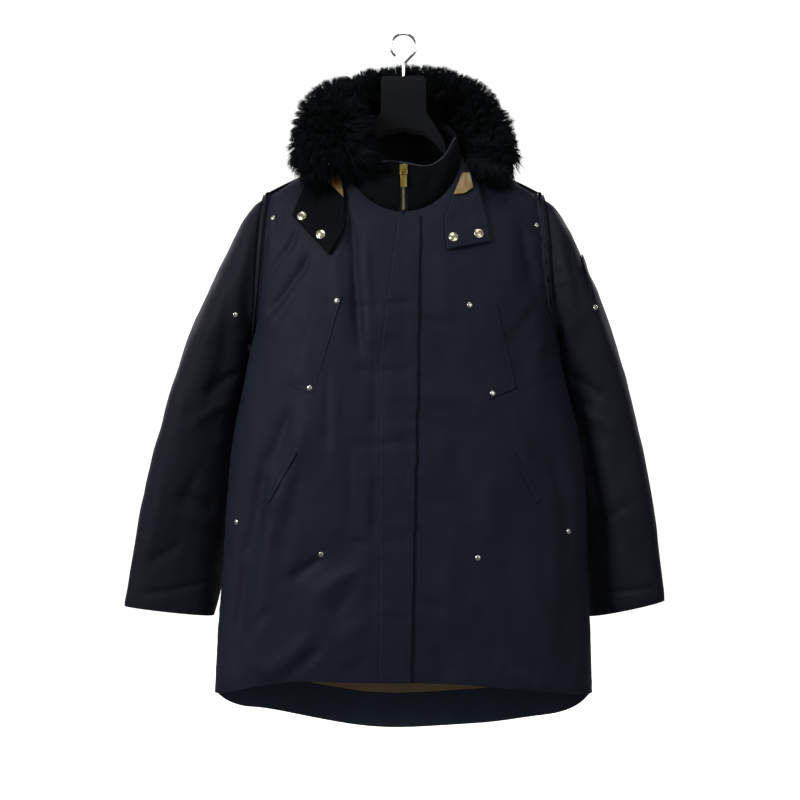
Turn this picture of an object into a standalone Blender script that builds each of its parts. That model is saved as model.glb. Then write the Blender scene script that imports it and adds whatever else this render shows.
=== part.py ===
"""A hooded, down-padded parka with a fur ruff, zipped up on a broad hanger.

Metres, +Z up, origin inside the top of the hanger's hook, where a rail carries it. The front faces -Y and
the wearer's left is +X. Each piece that is cut and sewn is a closed wall of its own. The walls of
neighbouring pieces share the points of their seam, and stand SEAM_GAP apart there.
"""

import math

import bmesh
import bpy
import numpy as np
from mathutils import Matrix, Vector
from mathutils.bvhtree import BVHTree

# Cloth walls and the clearances between pieces
BODY_WALL = 0.008
SLEEVE_WALL = 0.006
SEAM_WALL = 0.005
COLLAR_WALL = 0.006
HOOD_WALL = 0.003
SEAM_GAP = 0.0003
LAID_GAP = 0.0005
SLEEVE_CLEARANCE = 0.005
SLEEVE_SHIFT = 0.0004
COLLAR_LIFT = 0.0004

# The body's grid: rows run from hem to shoulder, columns from one side seam to the other
HEM_ROWS = 14
ARMHOLE_ROWS = 10
HALF_COLUMNS = 11
SHOULDER_COLUMNS = 5
ROWS = HEM_ROWS + ARMHOLE_ROWS
COLUMNS = 2 * HALF_COLUMNS

# The body's main points
UNDERARM_Z = -0.465
SIDE_HEM_Z = -0.985
SHOULDER_TIP = (0.2035, -0.237)
NECK_POINT = (0.085, -0.186)
FRONT_NECK_Z = -0.272
BACK_NECK_Z = -0.200
SIDE_POWER = 2.4
SHOULDER_DROP = 0.22

# Cross-sections of the body
SECTIONS = {
    "height": (-0.985, -0.900, -0.770, -0.660, -0.600, -0.555, -0.4875, -0.465, -0.400, -0.300, -0.190),
    "half_width": (
        0.2830, 0.2795, 0.2715, 0.2665, 0.2590, 0.2485,
        0.2335, 0.2300, 0.2300, 0.2310, 0.2310,
    ),
    "centre": (0.000, 0.001, 0.003, 0.005, 0.004, 0.003, 0.002, 0.002, 0.001, 0.000, 0.000),
    "side_y": (-0.008, -0.010, -0.012, -0.013, -0.013, -0.012, -0.010, -0.009, -0.006, -0.004, -0.004),
    "front_depth": (0.078, 0.084, 0.090, 0.094, 0.096, 0.098, 0.100, 0.101, 0.101, 0.094, 0.086),
    "back_depth": (0.094, 0.094, 0.092, 0.090, 0.090, 0.090, 0.091, 0.091, 0.090, 0.080, 0.070),
}
SHOULDER_LINE = {
    "x": (0.0, 0.040, 0.085, 0.150, 0.2035),
    "z": (-0.172, -0.176, -0.186, -0.2095, -0.237),
}
ARMHOLE = {
    "z": (-0.465, -0.430, -0.380, -0.320, -0.270, -0.237),
    "x": (0.2300, 0.2220, 0.2160, 0.2115, 0.2075, 0.2035),
}
# Hem heights across the body, by the share of its width from the wearer's right to the left
FRONT_HEM = {
    "share": (0.0, 0.18, 0.40, 0.60, 0.80, 1.0),
    "z": (-0.985, -0.962, -0.961, -0.962, -0.972, -0.985),
}
BACK_HEM = {
    "share": (
        0.0, 0.015, 0.04, 0.12, 0.18, 0.24, 0.30, 0.38, 0.50,
        0.60, 0.70, 0.77, 0.83, 0.91, 0.96, 0.985, 1.0,
    ),
    "z": (
        -0.985, -0.998, -1.008, -1.017, -1.025, -1.033, -1.040, -1.048, -1.052,
        -1.048, -1.044, -1.040, -1.033, -1.025, -1.014, -1.001, -0.985,
    ),
}

# The largest folds: where each starts and ends, its half width, and its height (below 0 for a trough)
FRONT_FOLDS = (
    # x0, z0, x1, z1, half_width, height
    (-0.166, -0.560, -0.214, -0.690, 0.014, -0.010),
    (-0.214, -0.690, -0.242, -0.900, 0.014, -0.010),
    (-0.138, -0.570, -0.180, -0.700, 0.016, 0.006),
    (-0.180, -0.700, -0.212, -0.900, 0.016, 0.006),
    (-0.134, -0.340, -0.186, -0.420, 0.015, -0.009),
    (-0.160, -0.310, -0.196, -0.350, 0.012, 0.005),
    (-0.075, -0.290, -0.058, -0.480, 0.012, -0.008),
    (-0.048, -0.300, -0.034, -0.470, 0.014, 0.005),
    (-0.120, -0.785, -0.160, -0.815, 0.014, -0.007),
    (-0.060, -0.800, -0.132, -0.838, 0.014, 0.006),
    (-0.132, -0.880, -0.205, -0.940, 0.016, 0.007),
    (0.060, -0.900, 0.052, -0.955, 0.020, -0.006),
    (0.176, -0.300, 0.196, -0.400, 0.014, -0.006),
    (0.215, -0.600, 0.250, -0.900, 0.016, -0.004),
)
BACK_FOLDS = (
    (-0.150, -0.520, -0.190, -0.930, 0.020, -0.007),
    (0.140, -0.500, 0.180, -0.900, 0.020, -0.007),
    (-0.040, -0.650, -0.070, -1.000, 0.022, -0.005),
    (0.060, -0.700, 0.075, -1.010, 0.022, -0.005),
    (-0.170, -0.330, -0.110, -0.420, 0.018, -0.006),
    (0.170, -0.330, 0.110, -0.420, 0.018, -0.006),
)

# Sleeves: each ring's outer and inner edge, its middle's y, half its depth, and how far its inner edge
# leans back
SLEEVE_RINGS = 19
SLEEVE_POINTS = 2 * ARMHOLE_ROWS
SLEEVE_RIGHT = {
    "outer_x": (
        -0.2035, -0.2195, -0.2375, -0.2670, -0.3007, -0.3325,
        -0.3598, -0.3825, -0.4022, -0.4174, -0.4234,
    ),
    "outer_z": (
        -0.237, -0.2520, -0.2760, -0.3325, -0.3960, -0.4808,
        -0.5657, -0.6505, -0.7354, -0.8202, -0.8590,
    ),
    "inner_x": (
        -0.2300, -0.2350, -0.2380, -0.2385, -0.2350, -0.2275,
        -0.2340, -0.2440, -0.2600, -0.2785, -0.2860,
    ),
    "inner_z": (
        -0.465, -0.4710, -0.4780, -0.4880, -0.5020, -0.5400,
        -0.6010, -0.6790, -0.7600, -0.8380, -0.8760,
    ),
    "middle_y": (-0.006, 0.000, 0.006, 0.014, 0.022, 0.032, 0.038, 0.040, 0.040, 0.038, 0.036),
    "half_depth": (0.060, 0.064, 0.068, 0.070, 0.069, 0.066, 0.062, 0.057, 0.050, 0.038, 0.031),
    "lean": (0.000, 0.002, 0.005, 0.011, 0.020, 0.029, 0.032, 0.030, 0.026, 0.018, 0.012),
}
SLEEVE_LEFT = {
    "outer_x": (0.2035, 0.2195, 0.2390, 0.2670, 0.2947, 0.3250, 0.3478, 0.3659, 0.3811, 0.3925, 0.3955),
    "outer_z": (
        -0.237, -0.2520, -0.2760, -0.3325, -0.3960, -0.4808,
        -0.5657, -0.6505, -0.7354, -0.8202, -0.8500,
    ),
    "inner_x": (0.2300, 0.2350, 0.2380, 0.2395, 0.2360, 0.2280, 0.2330, 0.2420, 0.2560, 0.2700, 0.2790),
    "inner_z": (
        -0.465, -0.4710, -0.4780, -0.4880, -0.5020, -0.5400,
        -0.6010, -0.6830, -0.7660, -0.8480, -0.8790,
    ),
    "middle_y": (-0.006, 0.000, 0.006, 0.014, 0.022, 0.032, 0.038, 0.040, 0.040, 0.040, 0.040),
    "half_depth": (0.060, 0.064, 0.068, 0.070, 0.069, 0.067, 0.064, 0.060, 0.054, 0.044, 0.038),
    "lean": (0.000, 0.002, 0.005, 0.010, 0.019, 0.030, 0.034, 0.034, 0.030, 0.026, 0.022),
}

# Collar: its top edge by the share of the way round, from centre front past the wearer's right to the back
COLLAR_ROWS = 3
COLLAR_TAPER = 0.94
COLLAR_MIDDLE = np.array([0.0, -0.026, 0.0])
COLLAR_TOP = {
    "share": (0.0, 0.08, 0.16, 0.26, 0.38, 0.50, 0.62, 0.74, 0.84, 0.92, 1.0),
    "z": (-0.199, -0.198, -0.206, -0.178, -0.140, -0.126, -0.130, -0.150, -0.186, -0.206, -0.199),
}
ZIP_HALF_WIDTH = 0.0060
ZIP_TAPE_THICK = 0.0016
CHAIN_HALF_WIDTH = 0.0031
CHAIN_THICK = 0.0022

# Fur ruff: a fan of rings on each side, by elevation from its lower end to the top. The right side comes
# forward past the collar and over the hanger's arm, the left side lies behind the collar
RUFF_START = -21.0
RUFF_RINGS = 27
RUFF_POINTS = 14
RUFF_RIGHT = {
    "elevation": (-21.0, -10.0, 0.0, 10.0, 20.0, 30.0, 40.0, 57.0, 72.0, 90.0),
    "outer": (0.1640, 0.1690, 0.1690, 0.1640, 0.1560, 0.1490, 0.1380, 0.1220, 0.1200, 0.1170),
    "inner": (0.0400, 0.0380, 0.0380, 0.0440, 0.0540, 0.0580, 0.0520, 0.0300, 0.0280, 0.0280),
    "middle_y": (-0.058, -0.056, -0.052, -0.044, -0.026, 0.006, 0.044, 0.086, 0.100, 0.105),
    "half_depth": (0.024, 0.030, 0.034, 0.036, 0.039, 0.042, 0.045, 0.045, 0.045, 0.045),
    "lean": (-0.002, -0.004, -0.006, -0.004, 0.000, 0.004, 0.006, 0.004, 0.002, 0.000),
    "centre_z": (-0.160, -0.155, -0.150, -0.148, -0.148, -0.148, -0.148, -0.148, -0.148, -0.148),
}
RUFF_LEFT = {
    "elevation": (-21.0, -10.0, 0.0, 10.0, 20.0, 30.0, 40.0, 57.0, 72.0, 90.0),
    "outer": (0.1680, 0.1720, 0.1730, 0.1660, 0.1610, 0.1560, 0.1480, 0.1320, 0.1240, 0.1170),
    "inner": (0.0980, 0.0980, 0.0700, 0.0400, 0.0290, 0.0280, 0.0280, 0.0280, 0.0280, 0.0280),
    "middle_y": (-0.045, 0.004, 0.045, 0.066, 0.080, 0.088, 0.093, 0.099, 0.103, 0.105),
    "half_depth": (0.020, 0.032, 0.040, 0.044, 0.045, 0.045, 0.045, 0.045, 0.045, 0.045),
    "lean": (0.002, 0.014, 0.024, 0.022, 0.018, 0.014, 0.010, 0.006, 0.002, 0.000),
    "centre_z": (-0.154, -0.151, -0.149, -0.148, -0.148, -0.148, -0.148, -0.148, -0.148, -0.148),
}
TUFT_HEIGHT = 0.0035
TUFTS = 13

# Hood: the pouch that hangs behind the collar
HOOD_ROWS = 10
HOOD_BACK = 0.100
HOOD_HANG = 0.165
HOOD_SPREAD = 0.030
HOOD_UNDER = 0.0065
HOOD_REST_Y = -0.020
HOOD_FREE_Y = 0.070
HOOD_GAP = 0.0020
HOOD_EASE = 0.0030
HOOD_NECK_EASE = 0.0050
HOOD_COLUMNS = RUFF_RINGS - 2
HOOD_NECK_SHARES = (0.29, 0.65)
HOOD_CENTRE_COLUMNS = (8, 16)
HOOD_CLEARANCE = 0.003

# Pieces laid on the front: outlines on the front, then thickness
PLACKET = (
    (-0.0345, -0.2765), (0.0250, -0.2765), (0.0209, -0.5180), (0.0136, -0.8500), (0.0080, -1.1),
    (-0.0400, -1.1), (-0.0400, -0.5300), (-0.0350, -0.4900),
)
PLACKET_THICK = 0.004
CHEST_FLAP_LEFT = ((0.0880, -0.4010), (0.1352, -0.4071), (0.1661, -0.5301), (0.1225, -0.5475))
CHEST_FLAP_RIGHT = ((-0.0875, -0.3941), (-0.1343, -0.4040), (-0.1708, -0.5257), (-0.1300, -0.5400))
POCKET_WELT_LEFT = ((0.1530, -0.6240), (0.1600, -0.6200), (0.2020, -0.6930), (0.1950, -0.6980))
POCKET_WELT_RIGHT = ((-0.1530, -0.6240), (-0.1600, -0.6200), (-0.2020, -0.6930), (-0.1950, -0.6980))
TAB_LEFT = (
    (0.0735, -0.2440), (0.0590, -0.2860), (0.0625, -0.3300), (0.1272, -0.3162), (0.1232, -0.2818),
    (0.1120, -0.2300), (0.0960, -0.2060),
)
TAB_RIGHT = (
    (-0.0860, -0.2430), (-0.0840, -0.2950), (-0.1080, -0.3370), (-0.1645, -0.2759), (-0.1500, -0.2340),
    (-0.1150, -0.2150),
)
LINING_LEFT = (
    (0.0735, -0.2460), (0.0900, -0.2440), (0.1020, -0.2350), (0.0980, -0.2120), (0.0865, -0.2120),
)
LINING_RIGHT = ((-0.0880, -0.2500), (-0.1120, -0.2250), (-0.1060, -0.2150), (-0.0930, -0.2110))
FLAP_THICK = 0.002
TAB_THICK = 0.005
LINING_THICK = 0.0015

# Metal fasteners on the front: x, z
SNAP_RADIUS = 0.0070
SNAP_HEIGHT = 0.0022
SNAPS = ((-0.1490, -0.2780), (-0.1208, -0.3060), (0.0722, -0.3110), (0.1095, -0.3050))
RIVET_RADIUS = 0.0040
RIVET_HEIGHT = 0.0018
RIVETS = (
    (-0.1932, -0.2781), (-0.0965, -0.4042), (-0.1365, -0.5300), (-0.2460, -0.7274), (-0.1198, -0.7722),
    (0.0955, -0.4100), (0.1290, -0.5380), (0.2423, -0.7409), (0.1078, -0.7766), (0.1975, -0.2889),
)
SLEEVE_RIVETS = ((0.2828, -0.4110), (-0.2483, -0.4215))
SLEEVE_WELT = ((0.2640, -0.3310), (0.2700, -0.3300), (0.2830, -0.3950), (0.2770, -0.3960))

# Inside the back's hem: the facing is the lowest row of the back's grid, and the lining ends at this row
FACING_SHARE = 0.091
FACING_THICK = 0.0015
FACING_INSET = 0.001
LINING_LIFT = 0.0006
LINING_ROW = 3

# Hanger: half of it, from its neck to an arm's tip. The arms' tops rest under the shoulders
HANGER = {
    "x": (
        0.0, 0.030, 0.0330, 0.0345, 0.046, 0.060, 0.0715, 0.079,
        0.085, 0.110, 0.135, 0.160, 0.175, 0.182, 0.185,
    ),
    "top": (
        -0.0610, -0.0610, -0.0640, -0.1150, -0.1330, -0.1560, -0.1860, -0.1980,
        -0.1980, -0.190, -0.190, -0.190, -0.190, -0.2420, -0.2470,
    ),
    "bottom": (
        -0.1470, -0.1530, -0.1545, -0.1560, -0.1640, -0.1810, -0.2060, -0.2180,
        -0.2240, -0.2340, -0.2440, -0.2540, -0.2590, -0.2590, -0.2560,
    ),
    "half_depth": (
        0.0070, 0.0070, 0.0070, 0.0070, 0.0070, 0.0070, 0.0065, 0.0060,
        0.0065, 0.0070, 0.0070, 0.0070, 0.0060, 0.0050, 0.0040,
    ),
    "middle_y": (
        0.0, 0.0, 0.0, 0.0, 0.0, 0.0, -0.001, -0.002,
        -0.003, -0.004, -0.004, -0.004, -0.004, -0.004, -0.004,
    ),
}
HANGER_ARM = slice(7, 13)
HANGER_REST = 0.0030
HANGER_SECTION_POINTS = 12
WIRE_RADIUS = 0.0019
HOOK_RADIUS = 0.0190
HOOK_SEAT = 0.010

# Zip slider and pull tab
SLIDER_SIZE = (0.0116, 0.0150)
SLIDER_ROOF = 0.0014
SLIDER_BELOW_TOP = 0.0125
BRIDGE_WIDTH = 0.0030
PULL_WIDTH = 0.0090
PULL_LENGTH = 0.0270
PULL_THICK = 0.0018
PULL_BAR_RADIUS = 0.0007

COLOURS = {
    "shell": ((0.010, 0.013, 0.021), 0.62, 0.0),
    "fur": ((0.003, 0.004, 0.004), 0.80, 0.0),
    "gold_lining": ((0.45, 0.30, 0.10), 0.35, 0.0),
    "gold_metal": ((0.80, 0.62, 0.25), 0.25, 1.0),
    "steel": ((0.75, 0.74, 0.70), 0.25, 1.0),
    "zip_tape": ((0.010, 0.012, 0.016), 0.70, 0.0),
    "hanger_plastic": ((0.008, 0.010, 0.012), 0.40, 0.0),
    "chrome": ((0.70, 0.70, 0.70), 0.12, 1.0),
}


# ---------------------------------------------------------------- scene and meshes


def cleared_collection():
    """An empty scene with the collection that holds the parts."""
    for old in list(bpy.data.objects):
        bpy.data.objects.remove(old, do_unlink=True)
    collection = bpy.data.collections.new("fur_trimmed_parka")
    bpy.context.scene.collection.children.link(collection)
    return collection


def material(name):
    """The named finish, made once."""
    if name in bpy.data.materials:
        return bpy.data.materials[name]
    colour, roughness, metallic = COLOURS[name]
    made = bpy.data.materials.new(name)
    made.use_nodes = True
    shader = made.node_tree.nodes["Principled BSDF"]
    shader.inputs["Base Color"].default_value = (*colour, 1.0)
    shader.inputs["Roughness"].default_value = roughness
    shader.inputs["Metallic"].default_value = metallic
    return made


def add_object(name, data, finish):
    """An object of this mesh or curve in the parts' collection."""
    made = bpy.data.objects.new(name, data)
    made.data.materials.append(material(finish))
    bpy.data.collections["fur_trimmed_parka"].objects.link(made)
    return made


def mesh_object(name, points, faces, finish):
    """A smooth-shaded mesh object of these points and faces."""
    mesh = bpy.data.meshes.new(name)
    mesh.from_pydata([tuple(p) for p in points], [], faces)
    mesh.validate()
    mesh.shade_smooth()
    mesh.set_sharp_from_angle(angle=math.radians(50))
    return add_object(name, mesh, finish)


def bmesh_object(name, shape, finish, smooth_angle=40):
    """Turns a bmesh into an object, and frees it."""
    mesh = bpy.data.meshes.new(name)
    shape.to_mesh(mesh)
    shape.free()
    mesh.shade_smooth()
    mesh.set_sharp_from_angle(angle=math.radians(smooth_angle))
    return add_object(name, mesh, finish)


def turn_outward(made):
    """Turns a closed mesh's faces outward."""
    shape = bmesh.new()
    shape.from_mesh(made.data)
    bmesh.ops.recalc_face_normals(shape, faces=shape.faces)
    shape.to_mesh(made.data)
    shape.free()


# ---------------------------------------------------------------- curves and grids


def smooth(table, key, at):
    """A column of a table, read at `at` along its first column by a Catmull-Rom curve."""
    xs = np.asarray(next(iter(table.values())), float)
    ys = np.asarray(table[key], float)
    if xs[0] > xs[-1]:
        xs, ys = xs[::-1], ys[::-1]
    slopes = np.gradient(ys, xs)
    at = np.clip(np.asarray(at, float), xs[0], xs[-1])
    k = np.clip(np.searchsorted(xs, at) - 1, 0, len(xs) - 2)
    width = xs[k + 1] - xs[k]
    t = (at - xs[k]) / width
    return (
        (2 * t**3 - 3 * t**2 + 1) * ys[k]
        + (t**3 - 2 * t**2 + t) * width * slopes[k]
        + (3 * t**2 - 2 * t**3) * ys[k + 1]
        + (t**3 - t**2) * width * slopes[k + 1]
    )


def unit(vectors):
    length = np.linalg.norm(vectors, axis=-1, keepdims=True)
    return vectors / np.maximum(length, 1e-12)


def grid_normals(grid, closed=False):
    """Outward normals of a grid whose rows rise and whose columns run clockwise seen from above."""
    rise = np.gradient(grid, axis=0)
    if closed:
        along = np.roll(grid, -1, axis=1) - np.roll(grid, 1, axis=1)
    else:
        along = np.gradient(grid, axis=1)
    return unit(np.cross(along, rise))


def key_of(point):
    return tuple(np.round(point, 6))


def shared_normals(groups):
    """Gives grids that meet the same normal at each shared point.

    groups is a list of lists of (grid, normals). Grids of one group count together, and groups count alike.
    """
    votes = {}
    for number, group in enumerate(groups):
        for grid, normals in group:
            for point, normal in zip(grid.reshape(-1, 3), normals.reshape(-1, 3)):
                own = votes.setdefault(key_of(point), {})
                own[number] = own.get(number, 0) + normal
    for group in groups:
        for grid, normals in group:
            for index in np.ndindex(grid.shape[:2]):
                own = votes[key_of(grid[index])]
                normals[index] = unit(sum(unit(vote) for vote in own.values()))


def inset(outer, inner, edge, gap):
    """Moves one edge of a wall into its own grid, so that the pieces at a seam stand apart."""
    first, second = {
        "left": ((slice(None), 0), (slice(None), 1)),
        "right": ((slice(None), -1), (slice(None), -2)),
        "bottom": (0, 1),
        "top": (-1, -2),
    }[edge]
    shift = unit(outer[second] - outer[first]) * gap
    outer[first] = outer[first] + shift
    inner[first] = inner[first] + shift


def split(a, b, c, d):
    """The two triangles of a grid's cell, always cut on the same diagonal."""
    return [(a, b, c), (a, c, d)]


def rim_triangles(heights, a, b, count):
    """The rim between two neighbouring outer points and their inner points, cut from the lower one."""
    if heights[a] > heights[b]:
        a, b = b, a
    return [(a, b, b + count), (a, b + count, a + count)]


def wall_faces(outer, closed):
    """Triangles of a wall: its outer grid, its inner grid turned over, and the rim between them."""
    rows, columns = outer.shape[:2]
    heights = outer[..., 2].ravel()
    count = rows * columns
    wrap = columns if closed else columns - 1
    faces = []
    for i in range(rows - 1):
        for j in range(wrap):
            a, b = i * columns + j, i * columns + (j + 1) % columns
            c, d = b + columns, a + columns
            faces += split(a, b, c, d)
            faces += split(a + count, b + count, c + count, d + count)
    rim = [(j, (j + 1) % columns) for j in range(wrap)]
    rim += [(a + (rows - 1) * columns, b + (rows - 1) * columns) for a, b in rim]
    if not closed:
        sides = [(i * columns, (i + 1) * columns) for i in range(rows - 1)]
        rim += sides + [(a + columns - 1, b + columns - 1) for a, b in sides]
    for a, b in rim:
        faces += rim_triangles(heights, a, b, count)
    return faces


def wall(name, outer, inner, finish, closed=False):
    """A closed cloth wall between two grids of points."""
    points = np.concatenate([outer.reshape(-1, 3), inner.reshape(-1, 3)])
    made = mesh_object(name, points, wall_faces(outer, closed), finish)
    turn_outward(made)
    return made


def loft(name, rings, finish):
    """A closed solid through rings of points, with a flat cap on each end."""
    count, around = rings.shape[:2]
    faces = [tuple(range(around))[::-1], tuple(range((count - 1) * around, count * around))]
    for i in range(count - 1):
        for j in range(around):
            a, b = i * around + j, i * around + (j + 1) % around
            faces.append((a, b, b + around, a + around))
    made = mesh_object(name, rings.reshape(-1, 3), faces, finish)
    turn_outward(made)
    return made


# ---------------------------------------------------------------- the body's surface


def section(key, z):
    return smooth(SECTIONS, key, z)


def shoulder_z(x):
    return smooth(SHOULDER_LINE, "z", np.abs(x))


def body_y(x, z, side):
    """The surface's y at x and z: side is -1 on the front and +1 on the back."""
    depth = section("front_depth" if side < 0 else "back_depth", z)
    aside = np.clip(np.abs(x - section("centre", z)) / section("half_width", z), 0, 1)
    below = np.clip((shoulder_z(x) - z) / SHOULDER_DROP, 0, 1)
    crown = np.sqrt(np.clip(1 - (1 - below) ** 2, 0, 1))
    return section("side_y", z) + side * depth * crown * (1 - aside**SIDE_POWER) ** (1 / SIDE_POWER)


def fold_height(x, z, folds):
    """How far folds raise the surface at x and z."""
    height = np.zeros_like(x)
    for x0, z0, x1, z1, half_width, rise in folds:
        run = np.array([x1 - x0, z1 - z0])
        share = np.clip(((x - x0) * run[0] + (z - z0) * run[1]) / (run @ run), 0, 1)
        away = np.hypot(x - x0 - share * run[0], z - z0 - share * run[1])
        height += rise * np.exp(-((away / half_width) ** 2))
    return height


def row_shares():
    """Each row's share of the way up: the hem facing, even to the underarm, then closer to the shoulder."""
    underarm = (UNDERARM_Z - SIDE_HEM_Z) / (SHOULDER_TIP[1] - SIDE_HEM_Z)
    lower = np.concatenate([[0], np.linspace(FACING_SHARE, 1, HEM_ROWS)]) * underarm
    steps = 1 - (1 - np.arange(1, ARMHOLE_ROWS + 1) / ARMHOLE_ROWS) ** 1.5
    return np.concatenate([lower, underarm + (1 - underarm) * steps])


def top_edge(neck_z):
    """x and z of the top row: shoulder, neckline, shoulder. neck_z is the neckline's lowest point."""
    slope = np.linspace(0, 1, SHOULDER_COLUMNS + 1)
    seam_x = SHOULDER_TIP[0] + (NECK_POINT[0] - SHOULDER_TIP[0]) * slope
    turn = np.linspace(0, math.pi / 2, HALF_COLUMNS - SHOULDER_COLUMNS + 1)[1:]
    neck_x = NECK_POINT[0] * np.cos(turn)
    neck_z = NECK_POINT[1] + (neck_z - NECK_POINT[1]) * np.sin(turn) ** 1.1
    x = np.concatenate([-seam_x, -neck_x])
    z = np.concatenate([shoulder_z(seam_x), neck_z])
    return np.concatenate([x, -x[-2::-1]]), np.concatenate([z, z[-2::-1]])


def across(start):
    """Places across the body from 1 at its right edge to -1, evenly round its section from this angle on."""
    angle = np.linspace(start, math.pi - start, COLUMNS + 1)
    return np.sign(np.cos(angle)) * np.abs(np.cos(angle)) ** (2 / SIDE_POWER)


def body_grid(side, hem, neck_z, folds):
    """The outer points of the whole front or back, from the hem up and from the right side seam across."""
    top_x, top_z = top_edge(neck_z)
    bend = across(0.0)
    hem_z = smooth(hem, "z", 0.5 - 0.5 * bend)
    grid = np.zeros((ROWS + 1, COLUMNS + 1, 3))
    for i, share in enumerate(row_shares()):
        z = hem_z + (top_z - hem_z) * share
        half_width = section("half_width", z)
        x = section("centre", z) - half_width * bend
        if i > HEM_ROWS:
            climb = (i - HEM_ROWS) / ARMHOLE_ROWS
            blend = climb * climb * (3 - 2 * climb)
            arm = smooth(ARMHOLE, "x", z[0])
            edge = arm / half_width[0]
            x = -arm / edge * across(math.acos(edge ** (SIDE_POWER / 2)))
            x = x * (1 - blend) + blend * top_x * (arm / SHOULDER_TIP[0])
        y = body_y(x, z, side)
        if i == ROWS:
            y[[0, COLUMNS]] = section("side_y", z[[0, COLUMNS]])
        raised = fold_height(x, z, folds) * fade(i)
        grid[i] = np.stack([x, y + side * raised * (1 - np.abs(bend)) ** 0.3, z], axis=-1)
    return grid


def fade(row):
    """Folds die out at the top seams."""
    return min(1.0, (ROWS - row) / 3)


def build_torso_grids():
    """Front and back grids that share their side seams and shoulder seams exactly."""
    front = body_grid(-1, FRONT_HEM, FRONT_NECK_Z, FRONT_FOLDS)
    back = body_grid(1, BACK_HEM, BACK_NECK_Z, BACK_FOLDS)
    for edge in (0, COLUMNS):
        front[: HEM_ROWS + 1, edge, 1] = section("side_y", front[: HEM_ROWS + 1, edge, 2])
        back[: HEM_ROWS + 1, edge] = front[: HEM_ROWS + 1, edge]
    seams = [*range(SHOULDER_COLUMNS + 1), *range(COLUMNS - SHOULDER_COLUMNS, COLUMNS + 1)]
    front[ROWS, seams, 1] = section("side_y", front[ROWS, seams, 2])
    back[ROWS, seams] = front[ROWS, seams]
    return front, back


# ---------------------------------------------------------------- sleeves


def armhole_ring(front, back, edge):
    """The armhole's points from the shoulder tip down its front, under the arm and up its back."""
    down = [front[i, edge] for i in range(ROWS, HEM_ROWS - 1, -1)]
    up = [back[i, edge] for i in range(HEM_ROWS + 1, ROWS)]
    return np.array(down + up)


def push_clear(points):
    """Moves points that lie in the body, or too near it, straight out from the middle of its section."""
    x, y, z = points.T
    near = np.clip((UNDERARM_Z - z) / 0.03, 0, 1) * SLEEVE_CLEARANCE
    centre, side_y = section("centre", z), section("side_y", z)
    depth = np.where(y < side_y, section("front_depth", z), section("back_depth", z))
    wide = section("half_width", z)
    reach = np.abs((x - centre) / (wide + near)) ** SIDE_POWER
    reach += np.abs((y - side_y) / (depth + near)) ** SIDE_POWER
    scale = np.where((reach < 1) & (z < UNDERARM_Z), np.maximum(reach, 1e-6) ** (-1 / SIDE_POWER), 1.0)
    return np.stack([centre + (x - centre) * scale, side_y + (y - side_y) * scale, z], axis=-1)


def sleeve_grid(table, armhole):
    """Rings from the armhole to the cuff, in the armhole's order of points."""
    knots = {"ring": np.arange(len(table["outer_x"]))} | table
    rings = []
    angle = 2 * math.pi * np.arange(SLEEVE_POINTS) / SLEEVE_POINTS
    for at in np.linspace(0, len(table["outer_x"]) - 1, SLEEVE_RINGS):
        outer_x, outer_z, inner_x, inner_z, middle_y, half_depth, lean = (
            smooth(knots, key, at) for key in table
        )
        along = np.cos(angle)
        x = (outer_x + inner_x) / 2 + along * (outer_x - inner_x) / 2
        z = (outer_z + inner_z) / 2 + along * (outer_z - inner_z) / 2
        y = middle_y - lean * along - half_depth * np.sin(angle)
        ring = np.stack([x, y, z], axis=-1)
        start = armhole + np.array([outer_x - table["outer_x"][0], 0, 0]) * 0.5
        share = min(1.0, at / 3)
        if at > 0:
            share = max(share, 0.25)
        rings.append(start * (1 - share) + push_clear(ring) * share if at < 3 else push_clear(ring))
    grid = np.array(rings)
    grid[0] = armhole
    return grid


# ---------------------------------------------------------------- torso and sleeve walls


def neck_ring(front, back):
    """The neckline from centre front round the wearer's right, the back and the left."""
    right = [front[ROWS, j] for j in range(HALF_COLUMNS, SHOULDER_COLUMNS, -1)]
    behind = [back[ROWS, j] for j in range(SHOULDER_COLUMNS, COLUMNS - SHOULDER_COLUMNS + 1)]
    left = [front[ROWS, j] for j in range(COLUMNS - SHOULDER_COLUMNS - 1, HALF_COLUMNS - 1, -1)]
    return np.array(right + behind + left)


def collar_grid(ring):
    """The collar from the neckline to its top edge."""
    share = np.linspace(0, 1, len(ring))
    top = COLLAR_MIDDLE + (ring - COLLAR_MIDDLE) * np.array([COLLAR_TAPER, COLLAR_TAPER, 1])
    top[:, 2] = smooth(COLLAR_TOP, "z", share)
    rise = np.linspace(0, 1, COLLAR_ROWS + 1)[:, None, None]
    grid = ring[None] * (1 - rise) + top[None] * rise
    belly = np.sin(np.pi * rise) * 0.004
    grid = grid + unit((ring - COLLAR_MIDDLE) * np.array([1, 1, 0]))[None] * belly
    grid[0] = ring
    return grid


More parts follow.
